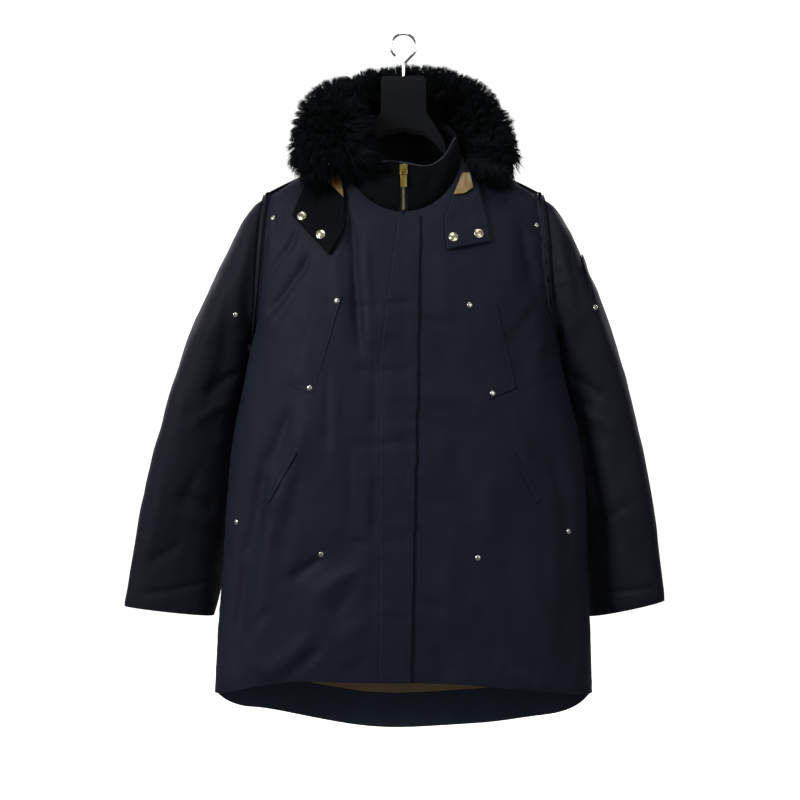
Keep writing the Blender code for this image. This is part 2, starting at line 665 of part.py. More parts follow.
class Garment:
    """The sewn walls that share seams: outer grids, shared normals and inner grids."""

    def __init__(self):
        self.front, self.back = build_torso_grids()
        ring_right = armhole_ring(self.front, self.back, 0)
        ring_left = armhole_ring(self.front, self.back, COLUMNS)
        self.sleeves = {
            "right": sleeve_grid(SLEEVE_RIGHT, ring_right),
            "left": sleeve_grid(SLEEVE_LEFT, ring_left),
        }
        self.neck = neck_ring(self.front, self.back)
        self.collar = collar_grid(self.neck)
        self.normals = self.wall_normals()

    def wall_normals(self):
        """Outward normals of every grid, alike wherever two grids meet."""
        normals = {
            "front": grid_normals(self.front),
            "back": -grid_normals(self.back),
            "right": -grid_normals(self.sleeves["right"], closed=True),
            "left": grid_normals(self.sleeves["left"], closed=True),
            "collar": unit((self.collar - COLLAR_MIDDLE) * np.array([1, 1, 0])),
        }
        shared_normals([
            [(self.front, normals["front"]), (self.back, normals["back"])],
            [(self.sleeves["right"], normals["right"])],
            [(self.sleeves["left"], normals["left"])],
            [(self.collar, normals["collar"])],
        ])
        flat, rise = np.array([1, 1, 0]), np.array([0, 0, 0.66])
        around = {
            key_of(point): unit(unit((point - COLLAR_MIDDLE) * flat) * 0.75 + rise)
            for point in self.neck
        }
        for grid, own in ((self.front, "front"), (self.back, "back"), (self.collar, "collar")):
            for index in np.ndindex(grid.shape[:2]):
                normals[own][index] = around.get(key_of(grid[index]), normals[own][index])
        return normals

    def inner(self, key, grid, thickness, seams=()):
        """The inner points of a grid, its wall thinner where these index pairs of it are sewn."""
        depth = np.full((*grid.shape[:2], 1), thickness)
        for rows, columns in seams:
            depth[rows, columns] = SEAM_WALL
        return grid - self.normals[key] * depth


def build_torso(garment):
    front, back = garment.front.copy(), garment.back.copy()
    armholes = [(slice(HEM_ROWS, None), 0), (slice(HEM_ROWS, None), COLUMNS)]
    front_in = garment.inner("front", front, BODY_WALL, armholes)
    back_in = garment.inner("back", back, BODY_WALL, armholes)
    halves = {
        "front_right": slice(0, HALF_COLUMNS + 1),
        "front_left": slice(HALF_COLUMNS, COLUMNS + 1),
    }
    for name, part in halves.items():
        outer, inner = front[:, part].copy(), front_in[:, part].copy()
        for edge in ("left", "right", "top"):
            inset(outer, inner, edge, SEAM_GAP / 2)
        wall(name, outer, inner, "shell")
    for edge in ("left", "right", "top"):
        inset(back, back_in, edge, SEAM_GAP / 2)
    wall("back", back, back_in, "shell")
    return front_in, back_in


def build_sleeves(garment):
    for side, sign in (("right", -1), ("left", 1)):
        outer = garment.sleeves[side]
        inner = garment.inner(side, outer, SLEEVE_WALL, [(slice(0, 5), slice(None))])
        apart = np.array([sign * SLEEVE_SHIFT, 0, 0])
        outer, inner = outer + apart, inner + apart
        wall(f"sleeve_{side}", outer, inner, "shell", closed=True)


def build_collar(garment):
    """The collar, open at centre front by the width of the zip."""
    outer = garment.collar.copy()
    depth = np.array([BODY_WALL] + [COLLAR_WALL] * COLLAR_ROWS)
    inner = outer - garment.normals["collar"] * depth[:, None, None]
    for grid in (outer, inner):
        for edge, beside, sign in ((0, 1, -1), (-1, -2, 1)):
            step = grid[:, beside] - grid[:, edge]
            share = (sign * (ZIP_HALF_WIDTH + SEAM_GAP) - grid[:, edge, 0]) / step[:, 0]
            grid[:, edge] += step * share[:, None]
    lift = np.array([0, 0, COLLAR_LIFT])
    wall("collar", outer + lift, inner + lift, "shell")
    return outer + lift, inner + lift


# ---------------------------------------------------------------- pieces laid on a panel


def slab(grid, normals, low, high):
    """A closed layer over a grid of points, from low to high above it."""
    points = np.concatenate([(grid + normals * high).reshape(-1, 3), (grid + normals * low).reshape(-1, 3)])
    shape = bmesh.new()
    corners = [shape.verts.new(point) for point in points]
    for face in wall_faces(grid, closed=False):
        shape.faces.new([corners[k] for k in face])
    bmesh.ops.recalc_face_normals(shape, faces=shape.faces)
    return shape


def cut_to_outline(shape, outline):
    """Keeps what lies inside a convex outline of (x, z) corners, cut by upright planes along Y."""
    middle = np.mean(outline, axis=0)
    for start, end in zip(outline, outline[1:] + outline[:1]):
        run = np.array(end) - np.array(start)
        normal = np.array([run[1], -run[0]])
        if normal @ (middle - np.array(start)) > 0:
            normal = -normal
        cut = bmesh.ops.bisect_plane(
            shape,
            geom=[*shape.verts, *shape.edges, *shape.faces],
            dist=1e-6,
            plane_co=(start[0], 0, start[1]),
            plane_no=(normal[0], 0, normal[1]),
            clear_outer=True,
        )
        rim = [part for part in cut["geom_cut"] if isinstance(part, bmesh.types.BMEdge)]
        if rim:
            bmesh.ops.holes_fill(shape, edges=rim)


def laid_piece(name, layer, outline, gap, thickness, finish):
    """A piece of this outline that follows a panel's points, moved out by gap, with its own thickness."""
    shape = slab(*layer, gap, gap + thickness)
    cut_to_outline(shape, outline)
    bmesh.ops.triangulate(shape, faces=shape.faces)
    bmesh.ops.recalc_face_normals(shape, faces=shape.faces)
    return bmesh_object(name, shape, finish)


def evaluated_tree(made):
    graph = bpy.context.evaluated_depsgraph_get()
    return BVHTree.FromObject(made, graph)


def seat(trees, x, z, radius, side=-1):
    """Where a round fastener sits on the outermost of some solids: its place and outward normal."""
    def hit(px, pz):
        found = [tree.ray_cast(Vector((px, side, pz)), Vector((0, -side, 0))) for tree in trees]
        found = [(place, normal) for place, normal, _, _ in found if place is not None]
        return min(found, key=lambda pair: side * -pair[0].y)

    place, normal = hit(x, z)
    turns = [2 * math.pi * k / 12 for k in range(12)]
    rim = [hit(x + radius * math.cos(t), z + radius * math.sin(t)) for t in turns]
    normal = sum((n for _, n in rim), normal.copy()).normalized()
    highest = max((point - place).dot(normal) for point, _ in rim)
    return place + normal * (max(highest, 0) + LAID_GAP), normal


def domed_stud(name, place, normal, radius, height, finish, ringed=False):
    """A low round stud with a rounded edge; a ringed one has a raised rim round a flat middle."""
    shape = bmesh.new()
    sides = 12 if ringed else 10
    profile = [(radius, 0.0), (radius, 0.45 * height), (0.78 * radius, height), (0.62 * radius, height)]
    profile += [(0.50 * radius, 0.62 * height)] if ringed else [(0.30 * radius, 1.1 * height)]
    rings = []
    for r, h in profile:
        turns = [2 * math.pi * k / sides for k in range(sides)]
        rings.append([shape.verts.new((r * math.cos(t), r * math.sin(t), h)) for t in turns])
    for lower, upper in zip(rings, rings[1:]):
        for k in range(sides):
            shape.faces.new((lower[k], lower[(k + 1) % sides], upper[(k + 1) % sides], upper[k]))
    shape.faces.new(rings[0][::-1])
    shape.faces.new(rings[-1])
    made = bmesh_object(name, shape, finish)
    made.location = place
    made.rotation_mode = "QUATERNION"
    made.rotation_quaternion = Vector((0, 0, 1)).rotation_difference(normal)
    return made


def build_front_pieces(garment):
    """Placket, flaps, welts, hood tabs and their lining corners, made from the front's points."""
    layer = (garment.front, garment.normals["front"])
    flat = (LAID_GAP, FLAP_THICK, "shell")
    placket = laid_piece("placket", layer, PLACKET, LAID_GAP, PLACKET_THICK, "shell")
    chest_left = laid_piece("chest_flap_left", layer, CHEST_FLAP_LEFT, *flat)
    chest_right = laid_piece("chest_flap_right", layer, CHEST_FLAP_RIGHT, *flat)
    laid_piece("pocket_welt_left", layer, POCKET_WELT_LEFT, *flat)
    laid_piece("pocket_welt_right", layer, POCKET_WELT_RIGHT, *flat)
    tab_left = laid_piece("hood_tab_left", layer, TAB_LEFT, LAID_GAP, TAB_THICK, "shell")
    tab_right = laid_piece("hood_tab_right", layer, TAB_RIGHT, LAID_GAP, TAB_THICK, "shell")
    above = 2 * LAID_GAP + TAB_THICK
    laid_piece("hood_lining_left", layer, LINING_LEFT, above, LINING_THICK, "gold_lining")
    laid_piece("hood_lining_right", layer, LINING_RIGHT, above, LINING_THICK, "gold_lining")
    return [placket, chest_left, chest_right, tab_left, tab_right]


def build_studs(pieces):
    """Rivets and press studs, each seated on the panel or flap under it."""
    objects = bpy.data.objects
    panels = [objects[name] for name in ("front_right", "front_left")]
    trees = [evaluated_tree(made) for made in panels + pieces]
    for number, (x, z) in enumerate(SNAPS, 1):
        place, normal = seat(trees, x, z, SNAP_RADIUS)
        domed_stud(f"snap_{number}", place, normal, SNAP_RADIUS, SNAP_HEIGHT, "gold_metal", ringed=True)
    for number, (x, z) in enumerate(RIVETS, 1):
        place, normal = seat(trees, x, z, RIVET_RADIUS)
        domed_stud(f"rivet_{number:02d}", place, normal, RIVET_RADIUS, RIVET_HEIGHT, "steel")
    sleeves = [evaluated_tree(objects[f"sleeve_{side}"]) for side in ("left", "right")]
    for number, (x, z) in enumerate(SLEEVE_RIVETS, len(RIVETS) + 1):
        place, normal = seat(sleeves, x, z, RIVET_RADIUS)
        domed_stud(f"rivet_{number:02d}", place, normal, RIVET_RADIUS, RIVET_HEIGHT, "steel")


def build_sleeve_welt(garment):
    """The thin welt on the wearer's left upper sleeve, from the sleeve's front points."""
    half = slice(0, SLEEVE_POINTS // 2 + 1)
    points = garment.sleeves["left"][:, half] + np.array([SLEEVE_SHIFT, 0, 0])
    layer = (points, garment.normals["left"][:, half])
    laid_piece("sleeve_welt_left", layer, SLEEVE_WELT, LAID_GAP, FLAP_THICK, "shell")


def build_back_inside(garment, back_in):
    """The hem facing and the strip of lining inside the back, on its inner points."""
    inward = -garment.normals["back"][:, 1:COLUMNS]
    near = back_in[:, 1:COLUMNS] + inward * LINING_LIFT
    far = near + inward * FACING_THICK
    strips = (
        # name, first row, last row, inset of its lower edge, finish
        ("back_facing", 0, 1, FACING_INSET, "shell"),
        ("back_lining", 1, LINING_ROW, SEAM_GAP, "gold_lining"),
    )
    for name, first, last, shift, finish in strips:
        outer, inner = far[first : last + 1].copy(), near[first : last + 1].copy()
        inset(outer, inner, "bottom", shift)
        wall(name, outer, inner, finish)


# ---------------------------------------------------------------- hood and ruff


def ruff_frames():
    """Each ring's in-plane outer and inner points, and half its depth."""
    for k in range(RUFF_RINGS):
        sweep = RUFF_START + (180.0 - 2 * RUFF_START) * k / (RUFF_RINGS - 1)
        sign, elevation, table = (-1, sweep, RUFF_RIGHT) if sweep <= 90 else (1, 180 - sweep, RUFF_LEFT)
        at = {key: smooth(table, key, elevation) for key in table}
        tuft = math.sin(TUFTS * math.radians(sweep)) * math.sin(math.pi * k / (RUFF_RINGS - 1))
        reach = at["outer"] + TUFT_HEIGHT * tuft
        direction = np.array([sign * math.cos(math.radians(elevation)), 0, math.sin(math.radians(elevation))])
        base = np.array([0, at["middle_y"], at["centre_z"]])
        lean = np.array([0, at["lean"], 0])
        yield base + direction * reach - lean, base + direction * at["inner"] + lean, at["half_depth"]


def build_ruff():
    rings = []
    for outside, inside, half_depth in ruff_frames():
        angle = 2 * math.pi * np.arange(RUFF_POINTS) / RUFF_POINTS
        middle, half = (outside + inside) / 2, (outside - inside) / 2
        depth = np.array([0, half_depth, 0])
        flat = np.sign(np.cos(angle)) * np.abs(np.cos(angle)) ** 0.85
        deep = np.sign(np.sin(angle)) * np.abs(np.sin(angle)) ** 0.85
        rings.append(middle + flat[:, None] * half + deep[:, None] * depth)
    rings = np.array(rings)
    for end, beside in ((0, 1), (-1, -2)):
        middle = rings[end].mean(axis=0)
        outward = unit(middle - rings[beside].mean(axis=0)) * 0.002
        cap = middle + (rings[end] - middle) * 0.7 + outward
        rings = np.concatenate([cap[None], rings]) if end == 0 else np.concatenate([rings, cap[None]])
    loft("hood_fur", rings, "fur")


def push_above_body(points):
    """Moves hood points that would lie in the body or too near it, up and back."""
    out = points.copy()
    for index in np.ndindex(points.shape[:-1]):
        x, y, z = points[index]
        for _ in range(40):
            surface = float(body_y(np.array(x), np.array(z), 1))
            inside = z < float(shoulder_z(x)) + HOOD_CLEARANCE and y < surface + HOOD_CLEARANCE
            if not inside or abs(x) > 0.215:
                break
            y += 0.0012
            z += 0.0012
        out[index] = (x, y, z)
    return out


def hood_grid(collar_outer):
    """The hood's outer points: rows from the ruff back, down and up again to the collar's foot."""
    foot = collar_outer[0] * 0.6 + collar_outer[1] * 0.4
    away = unit((foot - COLLAR_MIDDLE) * np.array([1, 1, 0]))
    share = np.linspace(0, 1, len(foot))[:, None]
    ease = HOOD_NECK_EASE * np.clip((HOOD_NECK_SHARES[0] + 0.10 - share) / 0.05, 0, 1)
    foot = foot + away * (LAID_GAP + 0.0004 + ease)
    at = np.linspace(*HOOD_NECK_SHARES, HOOD_COLUMNS) * (len(foot) - 1)
    neck = np.stack([np.interp(at, np.arange(len(foot)), foot[:, k]) for k in range(3)], axis=-1)
    frames = list(ruff_frames())[1:-1]
    rim = np.array([
        (outside + inside) / 2 + np.array([0, half_depth + HOOD_GAP, 0])
        for outside, inside, half_depth in frames
    ])
    rim[:, 1] += HOOD_EASE * np.linspace(-1, 1, HOOD_COLUMNS) ** 6
    along = np.pi * np.arange(HOOD_COLUMNS) / (HOOD_COLUMNS - 1)
    weight = np.clip(np.sin(along), 0, 1)[:, None] ** 0.45
    behind = np.clip((rim[:, 1:2] - HOOD_REST_Y) / (HOOD_FREE_Y - HOOD_REST_Y), 0, 1)
    free = weight * behind
    under = (1 - weight) * np.minimum(1, 2 * behind) * HOOD_UNDER
    rows = []
    for t in np.linspace(0, 1, HOOD_ROWS + 1):
        line = rim * (1 - t) + neck * t
        swing = math.sin(math.pi * t)
        late = math.sin(math.pi * max(t - 0.08, 0) / 0.92)
        side = np.sign(line[:, :1]) * np.minimum(np.abs(line[:, :1]) / 0.05, 1)
        shift = np.concatenate([
            side * HOOD_SPREAD * late * free,
            free * HOOD_BACK * swing**0.6,
            -free * HOOD_HANG * late**1.3 - under * min(1, 10 * t, 10 - 10 * t),
        ], axis=1)
        rows.append(line + shift)
    grid = np.array(rows)
    grid[1:-1] = push_above_body(grid[1:-1])
    return grid, frames


def build_hood(collar_outer):
    outer, frames = hood_grid(collar_outer)
    normals = grid_normals(outer)
    if normals[HOOD_ROWS // 3, HOOD_COLUMNS // 2, 1] < 0:
        normals = -normals
    normals[0] = unit(np.array([outside - inside for outside, inside, _ in frames]))
    inner = outer - normals * HOOD_WALL
    columns = {
        "hood_side_right": (0, HOOD_CENTRE_COLUMNS[0]),
        "hood_centre": HOOD_CENTRE_COLUMNS,
        "hood_side_left": (HOOD_CENTRE_COLUMNS[1], HOOD_COLUMNS - 1),
    }
    for name, (first, last) in columns.items():
        part = slice(first, last + 1)
        near, far = outer[:, part].copy(), inner[:, part].copy()
        for edge in ("left", "right"):
            inset(near, far, edge, SEAM_GAP / 2)
        wall(name, near, far, "shell")


# ---------------------------------------------------------------- zip


def front_line(outer, inner):
    """The collar's centre-front line: outer and inner points from its foot to its top."""
    return (outer[:, 0] + outer[:, -1]) / 2, (inner[:, 0] + inner[:, -1]) / 2


def strip_along(name, line, out, half_width, low, high, start, end, finish):
    """A flat bar along a line of points, from low to high along `out`, ending inside the line's ends."""
    line = line.copy()
    line[0] += unit(line[1] - line[0]) * start
    line[-1] += unit(line[-2] - line[-1]) * end
    wide = np.array([half_width, 0, 0])
    near = np.stack([line + out * high - wide, line + out * high + wide], axis=1)
    far = np.stack([line + out * low - wide, line + out * low + wide], axis=1)
    return wall(name, near, far, finish)


def build_zip(outer, inner):
    front, behind = front_line(outer, inner)
    out = unit(front[2] - behind[2])
    deep = (front + behind) / 2
    tape_high = 0.0010
    tape_low = tape_high - ZIP_TAPE_THICK
    strip_along("zip_tape", deep, out, ZIP_HALF_WIDTH, tape_low, tape_high, 0.001, 0.001, "zip_tape")
    chain_low = tape_high + SEAM_GAP
    chain_high = chain_low + CHAIN_THICK
    strip_along("zip_chain", deep, out, CHAIN_HALF_WIDTH, chain_low, chain_high, 0.003, 0.002, "gold_metal")
    build_slider(deep, out, chain_low, chain_high)


def box(name, low, high, finish):
    shape = bmesh.new()
    bmesh.ops.create_cube(shape, size=1.0)
    size, middle = Vector(high) - Vector(low), (Vector(high) + Vector(low)) / 2
    place = Matrix.Translation(middle) @ Matrix.Diagonal((*size, 1))
    bmesh.ops.transform(shape, matrix=place, verts=shape.verts)
    return bmesh_object(name, shape, finish)


def boolean(made, other, operation):
    """Applies a Boolean with `other`, which is then removed."""
    cut = made.modifiers.new(operation, "BOOLEAN")
    cut.operation = operation
    cut.object = other
    bpy.context.view_layer.update()
    graph = bpy.context.evaluated_depsgraph_get()
    made.data = bpy.data.meshes.new_from_object(made.evaluated_get(graph))
    made.modifiers.clear()
    bpy.data.objects.remove(other, do_unlink=True)


def place_on_zip(made, origin, up, out):
    """Turns a piece built with +Z along the zip and -Y outward, and puts its origin on the zip."""
    across = np.cross(-out, up)
    made.matrix_world = Matrix((
        (across[0], -out[0], up[0], origin[0]),
        (across[1], -out[1], up[1], origin[1]),
        (across[2], -out[2], up[2], origin[2]),
        (0, 0, 0, 1),
    ))


def build_slider(line, out, flange_low, chain_high):
    """The slider near the collar's top, its bridge, and the pull tab that hangs in it."""
    up = unit(line[-1] - line[-2])
    out = unit(out - up * (out @ up))
    half_width, half_length = SLIDER_SIZE[0] / 2, SLIDER_SIZE[1] / 2
    origin = line[-1] - up * SLIDER_BELOW_TOP
    roof = chain_high + SEAM_GAP
    top = roof + SLIDER_ROOF
    low, high = (-half_width, -top, -half_length), (half_width, -flange_low, half_length)
    slider = box("zip_slider", low, high, "gold_metal")
    slot_half, through = CHAIN_HALF_WIDTH + SEAM_GAP, SLIDER_SIZE[1]
    slot = box("slot", (-slot_half, -roof, -through), (slot_half, 0.01, through), "steel")
    boolean(slider, slot, "DIFFERENCE")
    half_bridge = BRIDGE_WIDTH / 2
    low, high = (-half_bridge, -(top + 0.0044), -0.0052), (half_bridge, -(top - 0.0002), 0.0040)
    bridge = box("bridge", low, high, "steel")
    hole = box("hole", (-0.01, -(top + 0.0030), -0.0036), (0.01, -top, 0.0024), "steel")
    boolean(bridge, hole, "DIFFERENCE")
    boolean(slider, bridge, "UNION")
    bevel = slider.modifiers.new("edges", "BEVEL")
    bevel.width = 0.0004
    bevel.segments = 1
    bevel.limit_method = "ANGLE"
    place_on_zip(slider, origin, up, out)
    build_pull(origin - up * 0.0006 + out * (top + 0.0015), up, out)


def build_pull(hinge, up, out):
    """A plain tab with an eye: its top bar lies in the slider's bridge, on the hinge's line."""
    bar = PULL_BAR_RADIUS
    half = PULL_WIDTH / 2
    pull = box("zip_pull", (-half, -PULL_THICK / 2, -PULL_LENGTH), (half, PULL_THICK / 2, bar), "gold_metal")
    eye = box("eye", (-half + 0.0018, -0.01, -0.0088), (half - 0.0018, 0.01, -bar), "steel")
    boolean(pull, eye, "DIFFERENCE")
    thin_low = box("thin_low", (-half + 0.0018, bar, -0.002), (half - 0.0018, 0.01, 0.002), "steel")
    boolean(pull, thin_low, "DIFFERENCE")
    thin_high = box("thin_high", (-half + 0.0018, -0.01, -0.002), (half - 0.0018, -bar, 0.002), "steel")
    boolean(pull, thin_high, "DIFFERENCE")
    bevel = pull.modifiers.new("edges", "BEVEL")
    bevel.width = 0.0003
    bevel.segments = 1
    bevel.limit_method = "ANGLE"
    place_on_zip(pull, hinge, up, out)


# ---------------------------------------------------------------- hanger


def tube(name, radius, low, high):
    """An upright cylinder on the hanger's axis."""
    shape = bmesh.new()
    bmesh.ops.create_cone(
        shape, cap_ends=True, segments=16, radius1=radius, radius2=radius, depth=high - low
    )
    bmesh.ops.translate(shape, verts=shape.verts, vec=(0, 0, (low + high) / 2))
    return bmesh_object(name, shape, "steel")


def build_hanger(seam):
    """The hanger's neck and arms, lofted from tip to tip. seam is the shoulders' inner row of points."""
    xs = np.array(HANGER["x"])
    tops = np.array(HANGER["top"])
    shoulder = seam[COLUMNS - SHOULDER_COLUMNS :]
    carried = np.interp(xs, shoulder[:, 0], shoulder[:, 2]) - HANGER_REST
    tops[HANGER_ARM] = np.minimum(tops[HANGER_ARM], carried[HANGER_ARM])
    stations = [(-i, -x) for i, x in enumerate(xs)][:0:-1] + list(enumerate(xs))
    angle = 2 * math.pi * (np.arange(HANGER_SECTION_POINTS) + 0.5) / HANGER_SECTION_POINTS
    bend = 0.55
    rings = []
    for number, x in stations:
        k = abs(number)
        top, bottom, depth = tops[k], HANGER["bottom"][k], HANGER["half_depth"][k]
        y = HANGER["middle_y"][k] + depth * np.sign(np.cos(angle)) * np.abs(np.cos(angle)) ** bend
        z = (top + bottom) / 2 + (top - bottom) / 2 * np.sign(np.sin(angle)) * np.abs(np.sin(angle)) ** bend
        rings.append(np.stack([np.full_like(y, x), y, z], axis=-1))
    body = loft("hanger_body", np.array(rings), "hanger_plastic")
    bore = tube("bore", WIRE_RADIUS + SEAM_GAP, tops[0] - HOOK_SEAT - SEAM_GAP, tops[0] + 0.01)
    boolean(body, bore, "DIFFERENCE")


def build_hook():
    """The wire hook: a straight stem, then round over the rail to an upturned end."""
    centre = -(HOOK_RADIUS - WIRE_RADIUS)
    stem_top = centre - HOOK_RADIUS - 0.006
    points = [(0, HANGER["top"][0] - HOOK_SEAT), (0, stem_top - 0.004), (0.002, stem_top)]
    for degrees in range(-55, 236, 15):
        turn = math.radians(degrees)
        points.append((HOOK_RADIUS * math.cos(turn), centre + HOOK_RADIUS * math.sin(turn)))
    curve = bpy.data.curves.new("hanger_hook", "CURVE")
    curve.dimensions = "3D"
    curve.bevel_depth = WIRE_RADIUS
    curve.bevel_resolution = 2
    curve.use_fill_caps = True
    spline = curve.splines.new("POLY")
    spline.points.add(len(points) - 1)
    for point, (x, z) in zip(spline.points, points):
        point.co = (x, 0, z, 1)
    add_object("hanger_hook", curve, "chrome")


def main():
    cleared_collection()
    garment = Garment()
    front_in, back_in = build_torso(garment)
    build_sleeves(garment)
    collar_outer, collar_inner = build_collar(garment)
    pieces = build_front_pieces(garment)
    build_studs(pieces)
    build_sleeve_welt(garment)
    build_back_inside(garment, back_in)
    build_ruff()
    build_hood(collar_outer)
    build_zip(collar_outer, collar_inner)
    build_hanger(front_in[ROWS])
    build_hook()


main()
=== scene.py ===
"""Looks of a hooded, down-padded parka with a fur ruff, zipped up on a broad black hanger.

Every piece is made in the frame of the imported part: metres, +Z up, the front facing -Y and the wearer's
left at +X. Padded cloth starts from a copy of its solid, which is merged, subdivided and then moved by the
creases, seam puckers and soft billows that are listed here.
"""

from __future__ import annotations

import logging
import math
from collections.abc import Iterable, Iterator, Sequence
from contextlib import contextmanager
from dataclasses import dataclass, field
from enum import Enum
from typing import NamedTuple

import bmesh
import bpy
import numpy as np
from mathutils import Matrix, Vector, noise
from mathutils.bvhtree import BVHTree
from mathutils.kdtree import KDTree


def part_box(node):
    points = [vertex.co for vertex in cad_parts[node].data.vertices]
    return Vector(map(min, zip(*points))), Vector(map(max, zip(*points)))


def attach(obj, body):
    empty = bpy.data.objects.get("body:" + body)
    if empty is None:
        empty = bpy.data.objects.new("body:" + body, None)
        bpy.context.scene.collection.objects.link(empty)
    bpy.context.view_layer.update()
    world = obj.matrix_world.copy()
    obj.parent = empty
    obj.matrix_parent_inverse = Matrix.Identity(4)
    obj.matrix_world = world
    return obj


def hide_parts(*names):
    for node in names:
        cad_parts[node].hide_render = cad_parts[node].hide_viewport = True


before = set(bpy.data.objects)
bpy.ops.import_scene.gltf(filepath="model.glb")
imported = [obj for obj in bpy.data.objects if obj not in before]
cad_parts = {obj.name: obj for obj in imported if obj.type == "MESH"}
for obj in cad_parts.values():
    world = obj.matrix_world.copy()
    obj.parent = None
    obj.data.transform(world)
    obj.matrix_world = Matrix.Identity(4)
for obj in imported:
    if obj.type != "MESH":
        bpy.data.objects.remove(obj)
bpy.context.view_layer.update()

log = logging.getLogger("parka")

MM = 0.001
# points of a solid nearer than this are one
MERGE = 1e-5
# how many levels of a panel have a middle of their own, which its cloth's map goes round
MAP_LEVELS = 12
# how far apart stitches are
STITCH_PITCH = 3.4 * MM
GARMENT = "parka"
PULL = "pull"

Array = np.ndarray
Piece = bpy.types.Object
Tree = bpy.types.NodeTree
Socket = bpy.types.NodeSocket


# ---------------------------------------------------------------- materials


def srgb(code: str) -> tuple[float, float, float, float]:
    """Turns an sRGB hex colour into linear RGBA.

    Args:
        code: The colour as "#rrggbb".

    Returns:
        Linear red, green and blue, and 1 for alpha.
    """
    parts = [int(code[k : k + 2], 16) / 255 for k in (1, 3, 5)]
    red, green, blue = (c / 12.92 if c <= 0.04045 else ((c + 0.055) / 1.055) ** 2.4 for c in parts)
    return red, green, blue, 1.0


def add_node(
    tree: Tree, kind: str, sockets: dict[str | int, object] | None = None, **settings: object
) -> bpy.types.Node:
    """Adds one shader node.

    Args:
        tree: The material's node tree.
        kind: The node's type name.
        sockets: Input sockets by name or number, each with a value or another node's output.
        **settings: Attributes of the node itself.

    Returns:
        The new node.
    """
    node = tree.nodes.new(kind)
    for key, value in settings.items():
        setattr(node, key, value)
    for key, value in (sockets or {}).items():
        if isinstance(value, Socket):
            tree.links.new(value, node.inputs[key])
        else:
            node.inputs[key].default_value = value
    return node


def lumps(tree: Tree, size: float, **sockets: float) -> Socket:
    """Adds noise in the piece's own space.

    Args:
        tree: The material's node tree.
        size: The lumps' size in metres.
        **sockets: The noise's Detail, Roughness and Distortion.

    Returns:
        The noise, from 0 to 1.
    """
    place = add_node(tree, "ShaderNodeTexCoord").outputs["Object"]
    sockets |= {"Vector": place, "Scale": 1 / size}
    return add_node(tree, "ShaderNodeTexNoise", sockets).outputs["Fac"]


def raised(tree: Tree, height: Socket, strength: float, distance: float, **under: Socket) -> Socket:
    """Adds a bump.

    Args:
        tree: The material's node tree.
        height: Its height, from 0 to 1.
        strength: Its strength.
        distance: The distance in metres that a height of 1 stands for.
        **under: Another bump's Normal, which this one lies on.

    Returns:
        The bumped normal.
    """
    sockets = {"Height": height, "Strength": strength, "Distance": distance, **under}
    return add_node(tree, "ShaderNodeBump", sockets).outputs["Normal"]


def bands(period: float) -> float:
    """Scale of a Wave texture whose bands are this far apart, in metres."""
    return 2 * math.pi / (20 * period)


@dataclass(frozen=True)
class Finish:
    """What every finish shares: a name, two tones, its roughness range and the size of its mottling."""

    name: str
    dark: str
    light: str
    rough_low: float
    rough_high: float
    mottle: float = 0.045

    def start(self) -> tuple[bpy.types.Material, Tree]:
        """Makes the material with its mottled tone and roughness.

        Returns:
            The material and its tree.
        """
        made = bpy.data.materials.new(self.name)
        made.use_nodes = True
        tree = made.node_tree
        cloud = lumps(tree, self.mottle, Detail=4.0, Roughness=0.6)
        span = {"From Min": 0.3, "From Max": 0.7, "To Min": self.rough_low, "To Max": self.rough_high}
        rough = add_node(tree, "ShaderNodeMapRange", {"Value": cloud, **span})
        self.tint(tree, cloud)
        self.settle(tree, {"Roughness": rough.outputs["Result"]})
        return made, tree

    def tint(self, tree: Tree, share: Socket) -> None:
        """Colours the surface between its two tones by this share."""
        tones = {"Factor": share, 6: srgb(self.dark), 7: srgb(self.light)}
        mixed = add_node(tree, "ShaderNodeMix", tones, data_type="RGBA")
        self.settle(tree, {"Base Color": mixed.outputs[2]})

    def settle(self, tree: Tree, sockets: dict[str, object]) -> None:
        """Sets the main shader's sockets, or links them."""
        shader = tree.nodes["Principled BSDF"]
        for key, value in sockets.items():
            if isinstance(value, Socket):
                tree.links.new(value, shader.inputs[key])
            else:
                shader.inputs[key].default_value = value


@dataclass(frozen=True)
class WovenCloth(Finish):
    """Dense cotton and nylon twill: matt, with a faint diagonal rib and a soft bloom where it turns away."""

    thread: float = 1.4 * MM
    rib: float = 0.10 * MM
    crinkle: float = 14 * MM
    crinkle_height: float = 0.5 * MM
    sheen: float = 0.12
    sheen_colour: str = "#5a6884"
    specular: float = 0.22
    anisotropy: float = 0.0
    twill_angle: float = 63.0

    def make(self) -> bpy.types.Material:
        """Builds the woven cloth. Its threads are 0.4 mm apart, drawn 1.4 mm apart so that they show."""
        made, tree = self.start()
        flat = add_node(tree, "ShaderNodeUVMap", uv_map="cloth").outputs["UV"]
        rotation = (0, 0, math.radians(self.twill_angle))
        along = add_node(tree, "ShaderNodeMapping", {"Vector": flat, "Rotation": rotation}).outputs["Vector"]
        wave = {"Vector": along, "Scale": bands(self.thread), "Distortion": 0.6, "Detail": 1.0}
        rib = add_node(tree, "ShaderNodeTexWave", wave).outputs["Fac"]
        crinkle = lumps(tree, self.crinkle, Detail=5.0, Roughness=0.55, Distortion=0.4)
        low = raised(tree, crinkle, 0.55, self.crinkle_height)
        self.settle(tree, {
            "Normal": raised(tree, rib, 0.5, self.rib, Normal=low),
            "Sheen Weight": self.sheen,
            "Sheen Roughness": 0.45,
            "Sheen Tint": srgb(self.sheen_colour),
            "Specular IOR Level": self.specular,
            "Anisotropic": self.anisotropy,
        })
        return made


